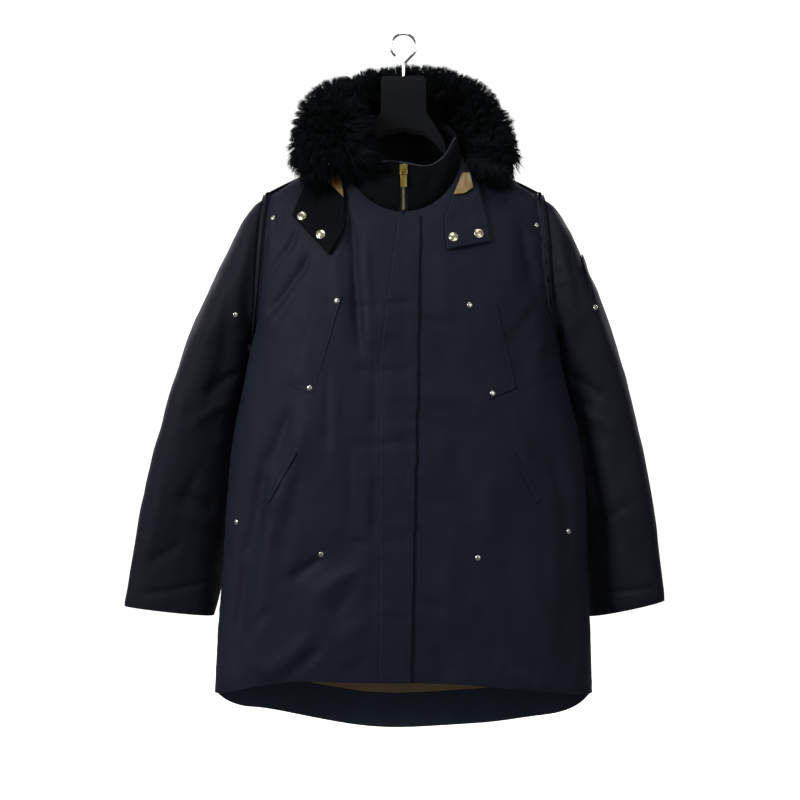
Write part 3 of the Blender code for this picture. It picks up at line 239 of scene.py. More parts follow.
@dataclass(frozen=True)
class FurFibre(Finish):
    """Dyed fur: near black, each lock a little lighter or darker, with a faint shine."""

    shine: float = 0.30

    def make(self) -> bpy.types.Material:
        """Builds the fibre finish from each lock's own tone."""
        made, tree = self.start()
        self.tint(tree, add_node(tree, "ShaderNodeAttribute", attribute_name="lock_tone").outputs["Fac"])
        self.settle(tree, {"Specular IOR Level": self.shine})
        return made


@dataclass(frozen=True)
class CastMetal(Finish):
    """Plated zinc: bright, with fine random scratches and dulled hollows."""

    scratch: float = 0.9 * MM
    depth: float = 0.05 * MM

    def make(self) -> bpy.types.Material:
        """Builds the plated metal."""
        made, tree = self.start()
        bumped = raised(tree, lumps(tree, self.scratch, Detail=3.0), 0.25, self.depth)
        self.settle(tree, {"Normal": bumped, "Metallic": 1.0})
        return made


@dataclass(frozen=True)
class MouldedPlastic(Finish):
    """Injection-moulded polystyrene: black, satin, with a fine spark-eroded grain."""

    grain: float = 1.6 * MM
    depth: float = 0.08 * MM

    def make(self) -> bpy.types.Material:
        """Builds the moulded plastic."""
        made, tree = self.start()
        bumped = raised(tree, lumps(tree, self.grain, Detail=2.0), 0.3, self.depth)
        self.settle(tree, {"Normal": bumped, "Specular IOR Level": 0.10})
        return made


LOOKS: dict[str, Finish] = {
    # dense down-proof twill: a matt, inky navy that greys a little where it turns away
    "shell": WovenCloth("shell_twill", "#0f131d", "#161b28", 0.62, 0.74, sheen=0.08, specular=0.15),
    # the same twill on the sleeves, drawn darker than the shell: painted shade, as the sleeves hang back and
    # turn away from the light
    "sleeve": WovenCloth("sleeve_twill_painted_shade", "#0e1118", "#141822", 0.64, 0.76, sheen=0.06, specular=0.13),
    # on the collar: almost black, with no shine; on the wearer's right hood tab, which is the shell twill,
    # this near black is painted shade from the fur above it
    "collar": WovenCloth(
        "near_black_collar_and_tab_shade", "#040607", "#080b0d", 0.74, 0.86, sheen=0.02, specular=0.06, thread=1.0 * MM
    ),
    # the hem's facing: the shell twill, drawn much lighter than the shell as painted light on the back's
    # inside, which lies in shade
    "facing": WovenCloth("facing_twill_painted_light", "#212833", "#313a49", 0.66, 0.78, sheen=0.05, specular=0.12),
    # tan satin lining: smooth floats that catch the light in soft creases
    "gold_lining": WovenCloth(
        "lining_satin", "#5c4a24", "#927849", 0.30, 0.42, crinkle=9 * MM, crinkle_height=0.8 * MM,
        sheen=0.05, sheen_colour="#e8cf94", specular=0.45, thread=1.0 * MM, rib=0.05 * MM, anisotropy=0.4,
    ),
    # dyed fur: black, with only a faint glint along each lock
    "fur": FurFibre("fur_dyed", "#0b1012", "#1d2527", 0.80, 0.90, shine=0.04),
    # the skin under the fur: near black, darker than the locks, as painted shade deep in the pile
    "fur_backing_painted_shade": WovenCloth("fur_backing_painted_shade", "#030404", "#050606", 0.88, 0.96, sheen=0.0, specular=0.03),
    # brass-plated zinc: warm, worn a little dull
    "gold_metal": CastMetal("gold_plate", "#8f7a3e", "#c4a761", 0.24, 0.38, mottle=0.006),
    # pale gold press studs: brighter and cooler than the zip
    "stud": CastMetal("stud_plate", "#b9b292", "#e6e0c6", 0.16, 0.30, mottle=0.005),
    # nickel-plated rivets: silver
    "nickel": CastMetal("nickel_plate", "#a8a49b", "#dcd8d0", 0.18, 0.32, mottle=0.004),
    # antique brass zip teeth: greyer than the slider
    "chain": CastMetal("zip_teeth_brass", "#77705a", "#a79d80", 0.30, 0.44, mottle=0.003),
    # woven polyester zip tape: a visible herringbone of coarse yarn
    "zip_tape": WovenCloth(
        "zip_tape_weave", "#0c0f13", "#14171c", 0.65, 0.75, thread=1.2 * MM, rib=0.15 * MM, specular=0.12
    ),
    # a pale grey twill tube on the collar's top edge, paler than the cloth: a painted highlight where that
    # edge catches the light
    "edge_highlight": WovenCloth(
        "pale_twill_edge_highlight", "#2a3036", "#3c434b", 0.60, 0.72, sheen=0.04, specular=0.12, thread=1.0 * MM
    ),
    # spun polyester sewing thread: a touch lighter and shinier than the cloth
    "thread": WovenCloth(
        "sewing_thread", "#0e121a", "#151a24", 0.50, 0.60, thread=0.8 * MM, rib=0.05 * MM, specular=0.25,
        mottle=0.012,
    ),
    # moulded polystyrene hanger: satin black
    "hanger_plastic": MouldedPlastic("hanger_polystyrene", "#0a0b0d", "#101214", 0.48, 0.58),
    # chromed steel wire
    "chrome": CastMetal("chromed_wire", "#b4b6b8", "#dadcde", 0.08, 0.16, mottle=0.010),
}
FINISHES = {name: look.make() for name, look in LOOKS.items()}


# ---------------------------------------------------------------- mesh helpers


def activate(piece: Piece) -> None:
    """Selects this piece alone and makes it active."""
    bpy.ops.object.select_all(action="DESELECT")
    piece.select_set(True)
    bpy.context.view_layer.objects.active = piece


@contextmanager
def editing(piece: Piece) -> Iterator[None]:
    """Edit mode on this piece alone, with all of it selected."""
    activate(piece)
    bpy.ops.object.mode_set(mode="EDIT")
    bpy.ops.mesh.select_all(action="SELECT")
    yield
    bpy.ops.object.mode_set(mode="OBJECT")


def linked(name: str, data: bpy.types.ID) -> Piece:
    """A new object in the scene that holds this data."""
    made = bpy.data.objects.new(name, data)
    bpy.context.scene.collection.objects.link(made)
    return made


def read(items: bpy.types.bpy_prop_collection, key: str) -> Array:
    """A vector property of many items, as an array with a row for each."""
    flat = np.empty(len(items) * 3)
    items.foreach_get(key, flat)
    return flat.reshape(-1, 3)


def points_of(piece: Piece) -> Array:
    """The piece's vertices."""
    return read(piece.data.vertices, "co")


def normals_of(piece: Piece) -> Array:
    """The piece's vertex normals."""
    return read(piece.data.vertex_normals, "vector")


def set_points(piece: Piece, points: Array) -> None:
    """Moves the piece's vertices to these points."""
    piece.data.vertices.foreach_set("co", np.ascontiguousarray(points, np.float32).ravel())
    piece.data.update()


def weights_of(piece: Piece, name: str) -> Array:
    """A float attribute of the piece's vertices."""
    flat = np.empty(len(piece.data.vertices), np.float32)
    piece.data.attributes[name].data.foreach_get("value", flat)
    return flat


def set_weights(mesh: bpy.types.Mesh, name: str, values: Array) -> None:
    """Stores a float for each of the mesh's vertices."""
    layer = mesh.attributes.new(name, "FLOAT", "POINT")
    layer.data.foreach_set("value", np.asarray(values, np.float32))


def tree_of(points: Array) -> KDTree:
    """The points, to be looked up by nearness."""
    tree = KDTree(len(points))
    for index, point in enumerate(points):
        tree.insert(point, index)
    tree.balance()
    return tree


def unit(vectors: Array) -> Array:
    """The vectors, each one metre long."""
    return vectors / np.maximum(np.linalg.norm(vectors, axis=1, keepdims=True), 1e-6)


def apply_modifier(piece: Piece, kind: str, **settings: object) -> None:
    """Adds a modifier with these settings and applies it.

    Args:
        piece: The object to change.
        kind: The modifier's type.
        **settings: Its attributes.
    """
    activate(piece)
    added = piece.modifiers.new(kind.lower(), kind)
    for key, value in settings.items():
        setattr(added, key, value)
    bpy.ops.object.modifier_apply(modifier=added.name)


def subdivide(piece: Piece, levels: int) -> None:
    """Applies this many levels of Subdivision Surface."""
    apply_modifier(piece, "SUBSURF", levels=levels, render_levels=levels)


def merged_copy(node: str, name: str) -> Piece:
    """Copies a solid's mesh into a new object, merged and with its triangles joined into quads.

    Args:
        node: The solid's name in the frame.
        name: The new object's name.

    Returns:
        The new object.
    """
    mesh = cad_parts[node].data.copy()
    mesh.name = name
    mesh.materials.clear()
    piece = linked(name, mesh)
    activate(piece)
    if mesh.has_custom_normals:
        bpy.ops.mesh.customdata_custom_splitnormals_clear()
    with editing(piece):
        bpy.ops.mesh.remove_doubles(threshold=MERGE)
        bpy.ops.mesh.tris_convert_to_quads(face_threshold=math.pi, shape_threshold=math.pi)
    return piece


def smooth_shade(piece: Piece, degrees: float = 60.0) -> None:
    """Shades the piece smooth but for edges sharper than this."""
    activate(piece)
    bpy.ops.object.shade_smooth_by_angle(angle=math.radians(degrees))


def dress(
    piece: Piece, finishes: Sequence[str], body: str = GARMENT, node: str | None = None
) -> None:
    """Gives a piece its materials and the body it moves with, and hides the solid it replaces.

    Args:
        piece: The finished piece.
        finishes: Its finishes' names, in the order of its faces' indices.
        body: The body that it rides on.
        node: The solid that it replaces, if any.
    """
    for finish in finishes:
        piece.data.materials.append(FINISHES[finish])
    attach(piece, body)
    if node:
        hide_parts(node)
    log.info("%s: %d faces", piece.name, len(piece.data.polygons))


def wall_sides(piece: Piece, sharp: float = 50.0) -> None:
    """Creases the rim of a wall, and marks its points.

    "outside" is 1 on the outer face, and "rim" is 1 on the rim's edges.

    Args:
        piece: A closed wall of quads.
        sharp: The angle in degrees over which an edge belongs to the rim.
    """
    shape = bmesh.new()
    shape.from_mesh(piece.data)
    crease = shape.edges.layers.float.get("crease_edge") or shape.edges.layers.float.new("crease_edge")
    limit = math.radians(sharp)
    hard = {edge for edge in shape.edges if len(edge.link_faces) == 2 and edge.calc_face_angle() > limit}
    for edge in hard:
        edge[crease] = 1.0
    islands: list[list[bmesh.types.BMFace]] = []
    seen: set[bmesh.types.BMFace] = set()
    for first in shape.faces:
        if first in seen:
            continue
        island, queue = [], [first]
        seen.add(first)
        while queue:
            face = queue.pop()
            island.append(face)
            for edge in face.edges:
                if edge in hard:
                    continue
                for other in edge.link_faces:
                    if other not in seen:
                        seen.add(other)
                        queue.append(other)
        islands.append(island)
    islands.sort(key=lambda island: -sum(face.calc_area() for face in island))
    outside = {vert.index for face in islands[0] for vert in face.verts}
    rim = {vert.index for edge in hard for vert in edge.verts}
    shape.to_mesh(piece.data)
    shape.free()
    count = len(piece.data.vertices)
    for name, members in (("outside", outside), ("rim", rim)):
        set_weights(piece.data, name, [k in members for k in range(count)])


def thin_inside(piece: Piece, kept: float) -> None:
    """Thins the mesh of a wall's inner face, which is smooth, and leaves its outer face as it is.

    Args:
        piece: A subdivided wall with its "outside" attribute.
        kept: The share of all faces that is kept.
    """
    if kept >= 1:
        return
    inner = piece.vertex_groups.new(name="inner")
    inner.add([int(index) for index in np.nonzero(weights_of(piece, "outside") < 0.01)[0]], 1.0, "REPLACE")
    apply_modifier(piece, "DECIMATE", ratio=kept, vertex_group="inner")


def map_cloth(piece: Piece, around: bool) -> None:
    """Lays a UV map in metres over the cloth, so that its weave follows it.

    Args:
        piece: The finished piece.
        around: Whether the map goes round the piece's upright middle line, or lies flat on x and z.
    """
    points = points_of(piece)
    if around:
        height = points[:, 2]
        levels = np.linspace(height.min(), height.max(), MAP_LEVELS + 1)
        which = np.clip(np.digitize(height, levels) - 1, 0, MAP_LEVELS - 1)
        each = [points[which == k, :2] for k in range(MAP_LEVELS)]
        middle = np.array([group.mean(axis=0) if len(group) else (np.nan, np.nan) for group in each])
        known = ~np.isnan(middle[:, 0])
        centres = (levels[:-1] + levels[1:]) / 2
        centre = np.stack([np.interp(height, centres[known], middle[known, k]) for k in range(2)], axis=1)
        away = points[:, :2] - centre
        radius = np.hypot(*away.T).mean()
        along = np.arctan2(away[:, 0], -away[:, 1]) * radius
        turn = 2 * math.pi * radius
    else:
        # a flat map never closes on itself
        along, turn = points[:, 0], 1e9
    corners = np.empty(len(piece.data.loops), np.int32)
    piece.data.loops.foreach_get("vertex_index", corners)
    u = along[corners]
    starts = np.empty(len(piece.data.polygons), np.int32)
    piece.data.polygons.foreach_get("loop_start", starts)
    highest = np.maximum.reduceat(u, starts)
    sizes = np.diff(np.append(starts, len(u)))
    u = np.where(np.repeat(highest, sizes) - u > turn / 2, u + turn, u)
    layer = piece.data.uv_layers.new(name="cloth")
    layer.data.foreach_set("uv", np.stack([u, points[corners, 2]], axis=1).astype(np.float32).ravel())


class Step(NamedTuple):
    """One ring of a turned shape, in metres: its radius, and its height above the cloth."""

    radius: float
    height: float


def disc(name: str, radius: float, height: float, sides: int) -> Piece:
    """A flat disc about +Z.

    Args:
        name: The new object's name.
        radius: Its radius.
        height: Its place on z.
        sides: How many sides it has.

    Returns:
        The new object.
    """
    bpy.ops.object.select_all(action="DESELECT")
    bpy.ops.mesh.primitive_circle_add(
        vertices=sides, radius=radius, fill_type="NGON", location=(0, 0, height)
    )
    made = bpy.context.object
    made.name = made.data.name = name
    bpy.ops.object.transform_apply(location=True)
    return made


def rise_and_grow(rise: float, grown: float) -> None:
    """Extrudes the selected ring upwards, and scales it about +Z."""
    bpy.ops.mesh.extrude_region_move(TRANSFORM_OT_translate={"value": (0, 0, rise)})
    bpy.ops.transform.resize(value=(grown, grown, 1), center_override=(0, 0, 0))


def turned(name: str, profile: Sequence[Step], sides: int = 32) -> Piece:
    """Turns a closed shape about +Z, by extruding and resizing a disc ring by ring.

    Args:
        name: The new object's name.
        profile: Its rings, from the bottom up.
        sides: How many sides each ring has.

    Returns:
        The new object.
    """
    first = profile[0]
    made = disc(name, first.radius, first.height, sides)
    with editing(made):
        for last, step in zip(profile, profile[1:]):
            rise_and_grow(step.height - last.height, step.radius / last.radius)
        bpy.ops.mesh.select_all(action="SELECT")
        bpy.ops.mesh.normals_make_consistent(inside=False)
    return made


def set_many(name: str, pattern: Piece, places: Sequence[Matrix]) -> Piece:
    """Copies a small pattern to many places, as one mesh, and removes the pattern.

    Args:
        name: The new object's name.
        pattern: The object to copy, at the origin.
        places: Where each copy goes.

    Returns:
        The joined copies.
    """
    points = points_of(pattern)
    turns = np.array([np.array(place.to_3x3()) for place in places])
    spots = np.array([np.array(place.to_translation()) for place in places])
    moved = np.einsum("nij,pj->npi", turns, points) + spots[:, None, :]
    each = len(points)
    faces = [tuple(face.vertices) for face in pattern.data.polygons]
    bpy.data.objects.remove(pattern)
    return many(name, moved.reshape(-1, 3), faces, each, len(places))


def many(name: str, points: Array, faces: Sequence[tuple[int, ...]], each: int, count: int) -> Piece:
    """Joins many like shapes as one mesh.

    Args:
        name: The new object's name.
        points: All their points, shape by shape.
        faces: The faces of one of them.
        each: How many points each has.
        count: How many there are.

    Returns:
        The new object.
    """
    mesh = bpy.data.meshes.new(name)
    all_faces = [tuple(k + each * row for k in face) for row in range(count) for face in faces]
    mesh.from_pydata(points, [], all_faces)
    return linked(name, mesh)


class Cloth:
    """The outer faces of finished pieces, looked up from the front."""

    def __init__(self, pieces: Iterable[Piece]) -> None:
        """Prepares the pieces for looking up."""
        graph = bpy.context.evaluated_depsgraph_get()
        self.trees = [BVHTree.FromObject(piece, graph) for piece in pieces]

    def hit(self, x: float, z: float) -> tuple[Vector, Vector] | None:
        """The frontmost point at x and z, and its normal, or None beside the cloth."""
        best = None
        for tree in self.trees:
            place, normal, _, _ = tree.ray_cast(Vector((x, -1.0, z)), Vector((0, 1, 0)))
            if place is not None and (best is None or place.y < best[0].y):
                best = place, normal
        return best

    def seat(self, x: float, z: float, reach: float, along: Vector | None = None) -> Matrix | None:
        """Where something small sits on the cloth: its +Z outwards, its +Y along the given direction.

        Args:
            x: Its place on x.
            z: Its place on z.
            reach: Its radius.
            along: The direction of its +Y, or None for up.

        Returns:
            The place, or None beside the cloth.
        """
        middle = self.hit(x, z)
        if middle is None:
            return None
        turns = [2 * math.pi * k / 8 for k in range(8)]
        around = [self.hit(x + reach * math.cos(turn), z + reach * math.sin(turn)) for turn in turns]
        # what lies much further back or forward belongs to another piece
        near = [found for found in around if found and abs(found[0].y - middle[0].y) < 1.5 * reach]
        outward = sum((found[1] for found in near), middle[1].copy()).normalized()
        if outward.y > 0:
            outward.negate()
        lift = max([0.0, *((found[0] - middle[0]).dot(outward) for found in near)])
        up = along or Vector((0, 0, 1))
        across = up.cross(outward).normalized()
        turn = Matrix((across, outward.cross(across), outward)).transposed().to_4x4()
        # it sinks a little into the cloth that stands proud round it
        return Matrix.Translation(middle[0] + outward * 0.6 * lift) @ turn


# ---------------------------------------------------------------- creases


class Fold(NamedTuple):
    """A crease on x and z, in metres: its ends, half width, height (below 0 for a trough) and bow."""

    x0: float
    z0: float
    x1: float
    z1: float
    half_width: float
    height: float
    bow: float = 0.0


def creases(*rows: tuple[float, ...]) -> tuple[Fold, ...]:
    """Creases from rows of Fold's columns in millimetres, the last of which may be left out."""
    return tuple(
        Fold(*(value / 1000 for value in row[:5]), row[5] * MM, *(value / 1000 for value in row[6:]))
        for row in rows
    )


def fold_height(points: Array, folds: Iterable[Fold]) -> Array:
    """How far the creases raise each point.

    Args:
        points: The points.
        folds: The creases.

    Returns:
        Each point's height, in metres.
    """
    x, z = points[:, 0], points[:, 2]
    height = np.zeros(len(points))
    for fold in folds:
        run = np.array([fold.x1 - fold.x0, fold.z1 - fold.z0])
        length = np.hypot(*run)
        along = ((x - fold.x0) * run[0] + (z - fold.z0) * run[1]) / length
        aside = ((x - fold.x0) * -run[1] + (z - fold.z0) * run[0]) / length
        share = np.clip(along / length, 0, 1)
        past = along - share * length
        aside = aside - fold.bow * 4 * share * (1 - share)
        # it widens along its run, fades towards both ends and rounds off past them
        width = fold.half_width * (0.7 + 0.6 * share)
        taper = np.clip(6 * share * (1 - share), 0.15, 1)
        height += fold.height * taper * np.exp(-(aside**2 + 0.35 * past**2) / width**2)
    return height


def soft_noise(points: Array, period: Sequence[float], seed: float) -> Array:
    """Smooth noise from -1 to 1 with these periods along x, y and z."""
    scaled = points / np.asarray(period) + seed
    return np.array([noise.noise(Vector(point)) for point in scaled])


@dataclass
class Relief:
    """How far a panel's cloth was moved, so that what lies on it moves along."""

    places: list[Array] = field(default_factory=list)
    shifts: list[Array] = field(default_factory=list)
    all_shifts: Array | None = None
    tree: KDTree | None = None

    def note(self, places: Array, shifts: Array) -> None:
        """Remembers how far these places of a panel were moved."""
        self.places.append(places)
        self.shifts.append(shifts)
        self.tree = None

    def at(self, points: Array, near: int = 4) -> Array:
        """How far the cloth under these points was moved.

        Args:
            points: Points on or near the panel, before it was moved.
            near: How many of the panel's points count.

        Returns:
            A shift for each point.
        """
        if self.tree is None:
            self.all_shifts = np.concatenate(self.shifts)
            self.tree = tree_of(np.concatenate(self.places))
        shifts = np.zeros((len(points), 3))
        for row, point in enumerate(points):
            found = self.tree.find_n(point, near)
            weights = np.array([1 / (distance + 1e-4) for _, _, distance in found])
            shifts[row] = weights @ self.all_shifts[[index for _, index, _ in found]] / weights.sum()
        return shifts


@dataclass(frozen=True)
class Puff:
    """How down-filled cloth lies between its seams."""

    billow: float = 3.4 * MM
    billow_period: tuple[float, float, float] = (0.080, 0.080, 0.140)
    ripple: float = 1.5 * MM
    ripple_period: tuple[float, float, float] = (0.034, 0.034, 0.070)
    crinkle: float = 0.6 * MM
    crinkle_period: tuple[float, float, float] = (0.016, 0.016, 0.028)
    seam_sink: float = 1.6 * MM
    seam_reach: float = 7 * MM
    pucker: float = 1.3 * MM
    pucker_reach: float = 26 * MM
    pucker_period: float = 13 * MM
    pucker_start: float = 4 * MM
    calm_reach: float = 0.018
    fold_at_seam: float = 0.25
    armhole: float = 0.0
    armhole_reach: float = 14 * MM
    # how much of the outer face's troughs and ridges the inner face follows, and how far at most
    inner_trough: float = 0.7
    inner_trough_limit: float = 3.5 * MM
    inner_ridge: float = 0.25
    inner_ridge_limit: float = 0.5 * MM


@dataclass
class PaddedPanel:
    """One down-padded piece of cloth, made from its solid."""

    node: str
    folds: tuple[Fold, ...] = ()
    puff: Puff = Puff()
    levels: int = 3
    around: bool = True
    fill: float = 0.45
    cloth: str = "shell"
    lining_above: float | None = None
    lining_below: float = 1.0
    kept: float = 0.62
    swollen: float = 0.0
    swollen_z: float = -0.480
    swollen_reach: float = 0.055
    # the swelling fades over fade_width, up to fade_x from the middle of the coat
    fade_x: float = 0.285
    fade_width: float = 0.03
    armhole_x: float = 0.18
    armhole_z: float = -0.47
    seed: float = 0.0

    def build(self, reliefs: Iterable[Relief] = ()) -> Piece:
        """Makes, moves and dresses the panel.

        Args:
            reliefs: Where to note how far its outer face was moved.

        Returns:
            The finished piece.
        """
        piece = merged_copy(self.node, f"{self.node}_cloth")
        wall_sides(piece)
        subdivide(piece, self.levels)
        rest = points_of(piece)
        shift = self.shifts(piece, rest)
        set_points(piece, rest + shift)
        outer = weights_of(piece, "outside") > 0.5
        for relief in reliefs:
            relief.note(rest[outer], shift[outer])
        finishes = [self.cloth]
        if self.lining_above is not None:
            finishes.append("gold_lining")
            self.line_inside(piece)
        thin_inside(piece, self.kept)
        map_cloth(piece, self.around)
        smooth_shade(piece)
        dress(piece, finishes, node=self.node)
        return piece

    def shifts(self, piece: Piece, points: Array) -> Array:
        """How far each point moves: creases, billows, crinkles and the seams' puckers.

        Args:
            piece: The subdivided panel.
            points: Its points.

        Returns:
            A shift for each point.
        """
        outside, rim, normals = weights_of(piece, "outside"), weights_of(piece, "rim"), normals_of(piece)
        puff = self.puff
        # each noise starts elsewhere, so that none repeats another
        layers = (
            (puff.billow, puff.billow_period, 3.1),
            (puff.ripple, puff.ripple_period, 5.9),
            (puff.crinkle, puff.crinkle_period, 7.7),
        )
        height = sum(size * soft_noise(points, period, start + self.seed) for size, period, start in layers)
        seams = points[(rim > 0.99) & (outside > 0.99)]
        tree = tree_of(seams)
        found = [tree.find(point) for point in points]
        away = np.array([distance for _, _, distance in found])
        nearest = [row for _, row, _ in found]
        ripple = soft_noise(seams, (puff.pucker_period,) * 3, 1.3 + self.seed)[nearest]
        calm = 1 - np.exp(-((away / puff.calm_reach) ** 2))
        share = puff.fold_at_seam + (1 - puff.fold_at_seam) * calm
        height = height * calm + fold_height(points, self.folds) * share
        ripple *= np.exp(-away / puff.pucker_reach) * (1 - np.exp(-away / puff.pucker_start))
        height += puff.pucker * ripple
        height -= puff.seam_sink * np.exp(-away / puff.seam_reach)
        trough = np.maximum(puff.inner_trough * height, -puff.inner_trough_limit)
        ridge = np.minimum(puff.inner_ridge * height, puff.inner_ridge_limit)
        inner = -calm * np.where(height < 0, trough, ridge)
        if puff.armhole:
            sunk = puff.armhole * self.groove(points, seams)
            height -= sunk
            inner += sunk
        shift = normals * np.where(outside > 0.5, height, inner * (1 - outside))[:, None]
        return shift + self.swell(points, normals, outside)

    def groove(self, points: Array, seams: Array) -> Array:
        """How near each point is to the armhole's seam, from 0 to 1.

        Args:
            points: The panel's points.
            seams: The points on its seams.

        Returns:
            1 on the armhole's seam, falling softly to 0 beside it.
        """
        tree = tree_of(seams[(abs(seams[:, 0]) > self.armhole_x) & (seams[:, 2] > self.armhole_z)])
        away = np.array([tree.find(point)[2] for point in points])
        return np.exp(-((away / self.puff.armhole_reach) ** 2))

    def swell(self, points: Array, normals: Array, outside: Array) -> Array:
        """How far a sleeve's outer face swells towards the body below the armhole.

        Args:
            points: The panel's points.
            normals: Its normals there.
            outside: 1 on its outer face.

        Returns:
            A shift for each point.
        """
        shift = np.zeros_like(points)
        if self.swollen:
            side = np.sign(points[:, 0])
            facing = np.clip(-normals[:, 0] * side, 0, 1)
            near = np.exp(-(((points[:, 2] - self.swollen_z) / self.swollen_reach) ** 2))
            near *= np.clip((self.fade_x - abs(points[:, 0])) / self.fade_width, 0, 1)
            shift[:, 0] = -side * self.swollen * near * facing * outside
        return shift

    def line_inside(self, piece: Piece) -> None:
        """Gives the inner face its satin lining above the facing."""
        outside, rim = weights_of(piece, "outside"), weights_of(piece, "rim")
        points = points_of(piece)
        for face in piece.data.polygons:
            corners = list(face.vertices)
            inner = outside[corners].max() < 0.01 and rim[corners].max() < 0.3
            if inner and self.lining_above < points[corners, 2].mean() < self.lining_below:
                face.material_index = 1


def hull(points: Array) -> Array:
    """The convex outline of points on x and z, going round once."""
    flat = sorted({(round(float(x), 6), round(float(z), 6)) for x, _, z in points})

    def half(path: Iterable[tuple[float, float]]) -> list[tuple[float, float]]:
        """One side of the outline."""
        kept: list[tuple[float, float]] = []
        for place in path:
            while len(kept) > 1:
                (ax, az), (bx, bz) = kept[-2], kept[-1]
                if (bx - ax) * (place[1] - az) - (bz - az) * (place[0] - ax) > 1e-9:
                    break
                kept.pop()
            kept.append(place)
        return kept

    return np.array(half(flat)[:-1] + half(reversed(flat))[:-1])


def inset_distance(points: Array, outline: Array) -> Array:
    """How far each point lies inside a convex outline on x and z."""
    nearest = np.full(len(points), np.inf)
    for start, end in zip(outline, np.roll(outline, -1, axis=0)):
        run = end - start
        normal = np.array([-run[1], run[0]]) / np.hypot(*run)
        nearest = np.minimum(nearest, (points[:, [0, 2]] - start) @ normal)
    return nearest


@dataclass
class LaidPiece:
    """A flap, welt, placket or tab that lies on a panel."""

    node: str
    relief: Relief
    voxel: float = 1.5 * MM
    smoothing: int = 4
    stitch_inset: float | None = 5 * MM
    groove: float = 0.3 * MM
    sunk: float = 0.0
    cloth: str = "shell"
    kept: float = 0.55
    folds: tuple[Fold, ...] = ()
    billow: float = 0.5 * MM
    fill: float = 0.3
    groove_width: float = 1.3 * MM
    seed: float = 0.0

    def build(self) -> Piece:
        """Makes, moves and dresses the piece.

        Returns:
            The finished piece.
        """
        piece = merged_copy(self.node, f"{self.node}_cloth")
        outline = hull(points_of(piece))
        apply_modifier(piece, "REMESH", mode="VOXEL", voxel_size=self.voxel)
        apply_modifier(piece, "SMOOTH", factor=0.5, iterations=self.smoothing)
        points = points_of(piece)
        height = self.billow * soft_noise(points, (0.03, 0.03, 0.03), 5.5 + self.seed)
        height += fold_height(points, self.folds)
        outward = np.clip(-normals_of(piece)[:, 1], 0, 1)
        if self.stitch_inset is not None:
            inside = inset_distance(points, outline)
            height -= self.groove * np.exp(-(((inside - self.stitch_inset) / self.groove_width) ** 2))
        shift = self.relief.at(points)
        shift[:, 1] += self.sunk - height * outward
        set_points(piece, points + shift)
        apply_modifier(piece, "DECIMATE", ratio=self.kept)
        map_cloth(piece, around=False)
        smooth_shade(piece)
        dress(piece, [self.cloth], node=self.node)
        if self.stitch_inset is not None:
            self.sew(piece, outline)
        return piece

    def sew(self, piece: Piece, outline: Array) -> None:
        """Sews a row of stitches all round, inside the piece's edge.

        Args:
            piece: The finished piece.
            outline: Its convex outline on x and z, before it was moved.
        """
        closed = np.vstack([outline, outline[:1]])
        runs = np.diff(closed, axis=0)
        lengths = np.linalg.norm(runs, axis=1)
        starts = np.concatenate([[0], np.cumsum(lengths)])
        along = np.arange(0, starts[-1], STITCH_PITCH)
        side = np.clip(np.searchsorted(starts, along, side="right") - 1, 0, len(runs) - 1)
        heading = runs[side] / lengths[side][:, None]
        inward = np.stack([-heading[:, 1], heading[:, 0]], axis=1)
        path = closed[side] + heading * (along - starts[side])[:, None] + inward * self.stitch_inset
        kept = inset_distance(np.insert(path, 1, 0, axis=1), outline) > 0.95 * self.stitch_inset
        stitches(f"{self.node}_stitches", Cloth([piece]), path[kept], heading[kept])


def stitches(name: str, cloth: Cloth, path: Array, heading: Array) -> None:
    """Sews stitches into cloth. They are 2.6 mm long and 0.5 mm thick, a little more than real thread.

    Args:
        name: The piece's name.
        cloth: What they are sewn into.
        path: Their places on x and z.
        heading: Each one's direction on x and z.
    """
    seats = [
        cloth.seat(x, z, 1 * MM, Vector((along_x, 0, along_z)))
        for (x, z), (along_x, along_z) in zip(path.tolist(), heading.tolist())
    ]
    bpy.ops.object.select_all(action="DESELECT")
    bpy.ops.mesh.primitive_uv_sphere_add(segments=6, ring_count=4, radius=1)
    pattern = bpy.context.object
    # a ball turned on its side and squeezed; the minus keeps its faces outward
    set_points(pattern, points_of(pattern)[:, [0, 2, 1]] * np.array([-0.27, 1.3, 0.30]) * MM)
    piece = set_many(name, pattern, [seat for seat in seats if seat is not None])
    map_cloth(piece, around=False)
    piece.data.shade_smooth()
    dress(piece, ["thread"])


class Held(Enum):
    """How a sheet is held."""

    LAID = "laid"
    STRETCHED = "stretched"


@dataclass
class ThinSheet:
    """A thin piece of cloth: its flat size and cut area in metres, and what it rests on."""

    node: str
    flat: tuple[float, float]
    area: float
    rests_on: tuple[str, ...]
    slot: str = "shell"
    cloth: str = "shell"
    held: Held = Held.LAID
    levels: int = 2
    billow: float = 1.2 * MM
    period: float = 0.030
    rim_calm: float = 0.8
    seed: float = 0.0

    def build(self) -> Piece:
        """Makes, creases and dresses the sheet.

        Returns:
            The finished piece.
        """
        piece = merged_copy(self.node, f"{self.node}_cloth")
        wall_sides(piece)
        subdivide(piece, self.levels)
        points = points_of(piece)
        calm = 1 - self.rim_calm * weights_of(piece, "rim")
        periods = (self.period, self.period, 1.6 * self.period)
        height = self.billow * soft_noise(points, periods, 9.2 + self.seed)
        points[:, 1] -= height * calm
        set_points(piece, points)
        map_cloth(piece, around=False)
        smooth_shade(piece)
        dress(piece, [self.cloth], node=self.node)
        return piece


# ---------------------------------------------------------------- the coat's cloth


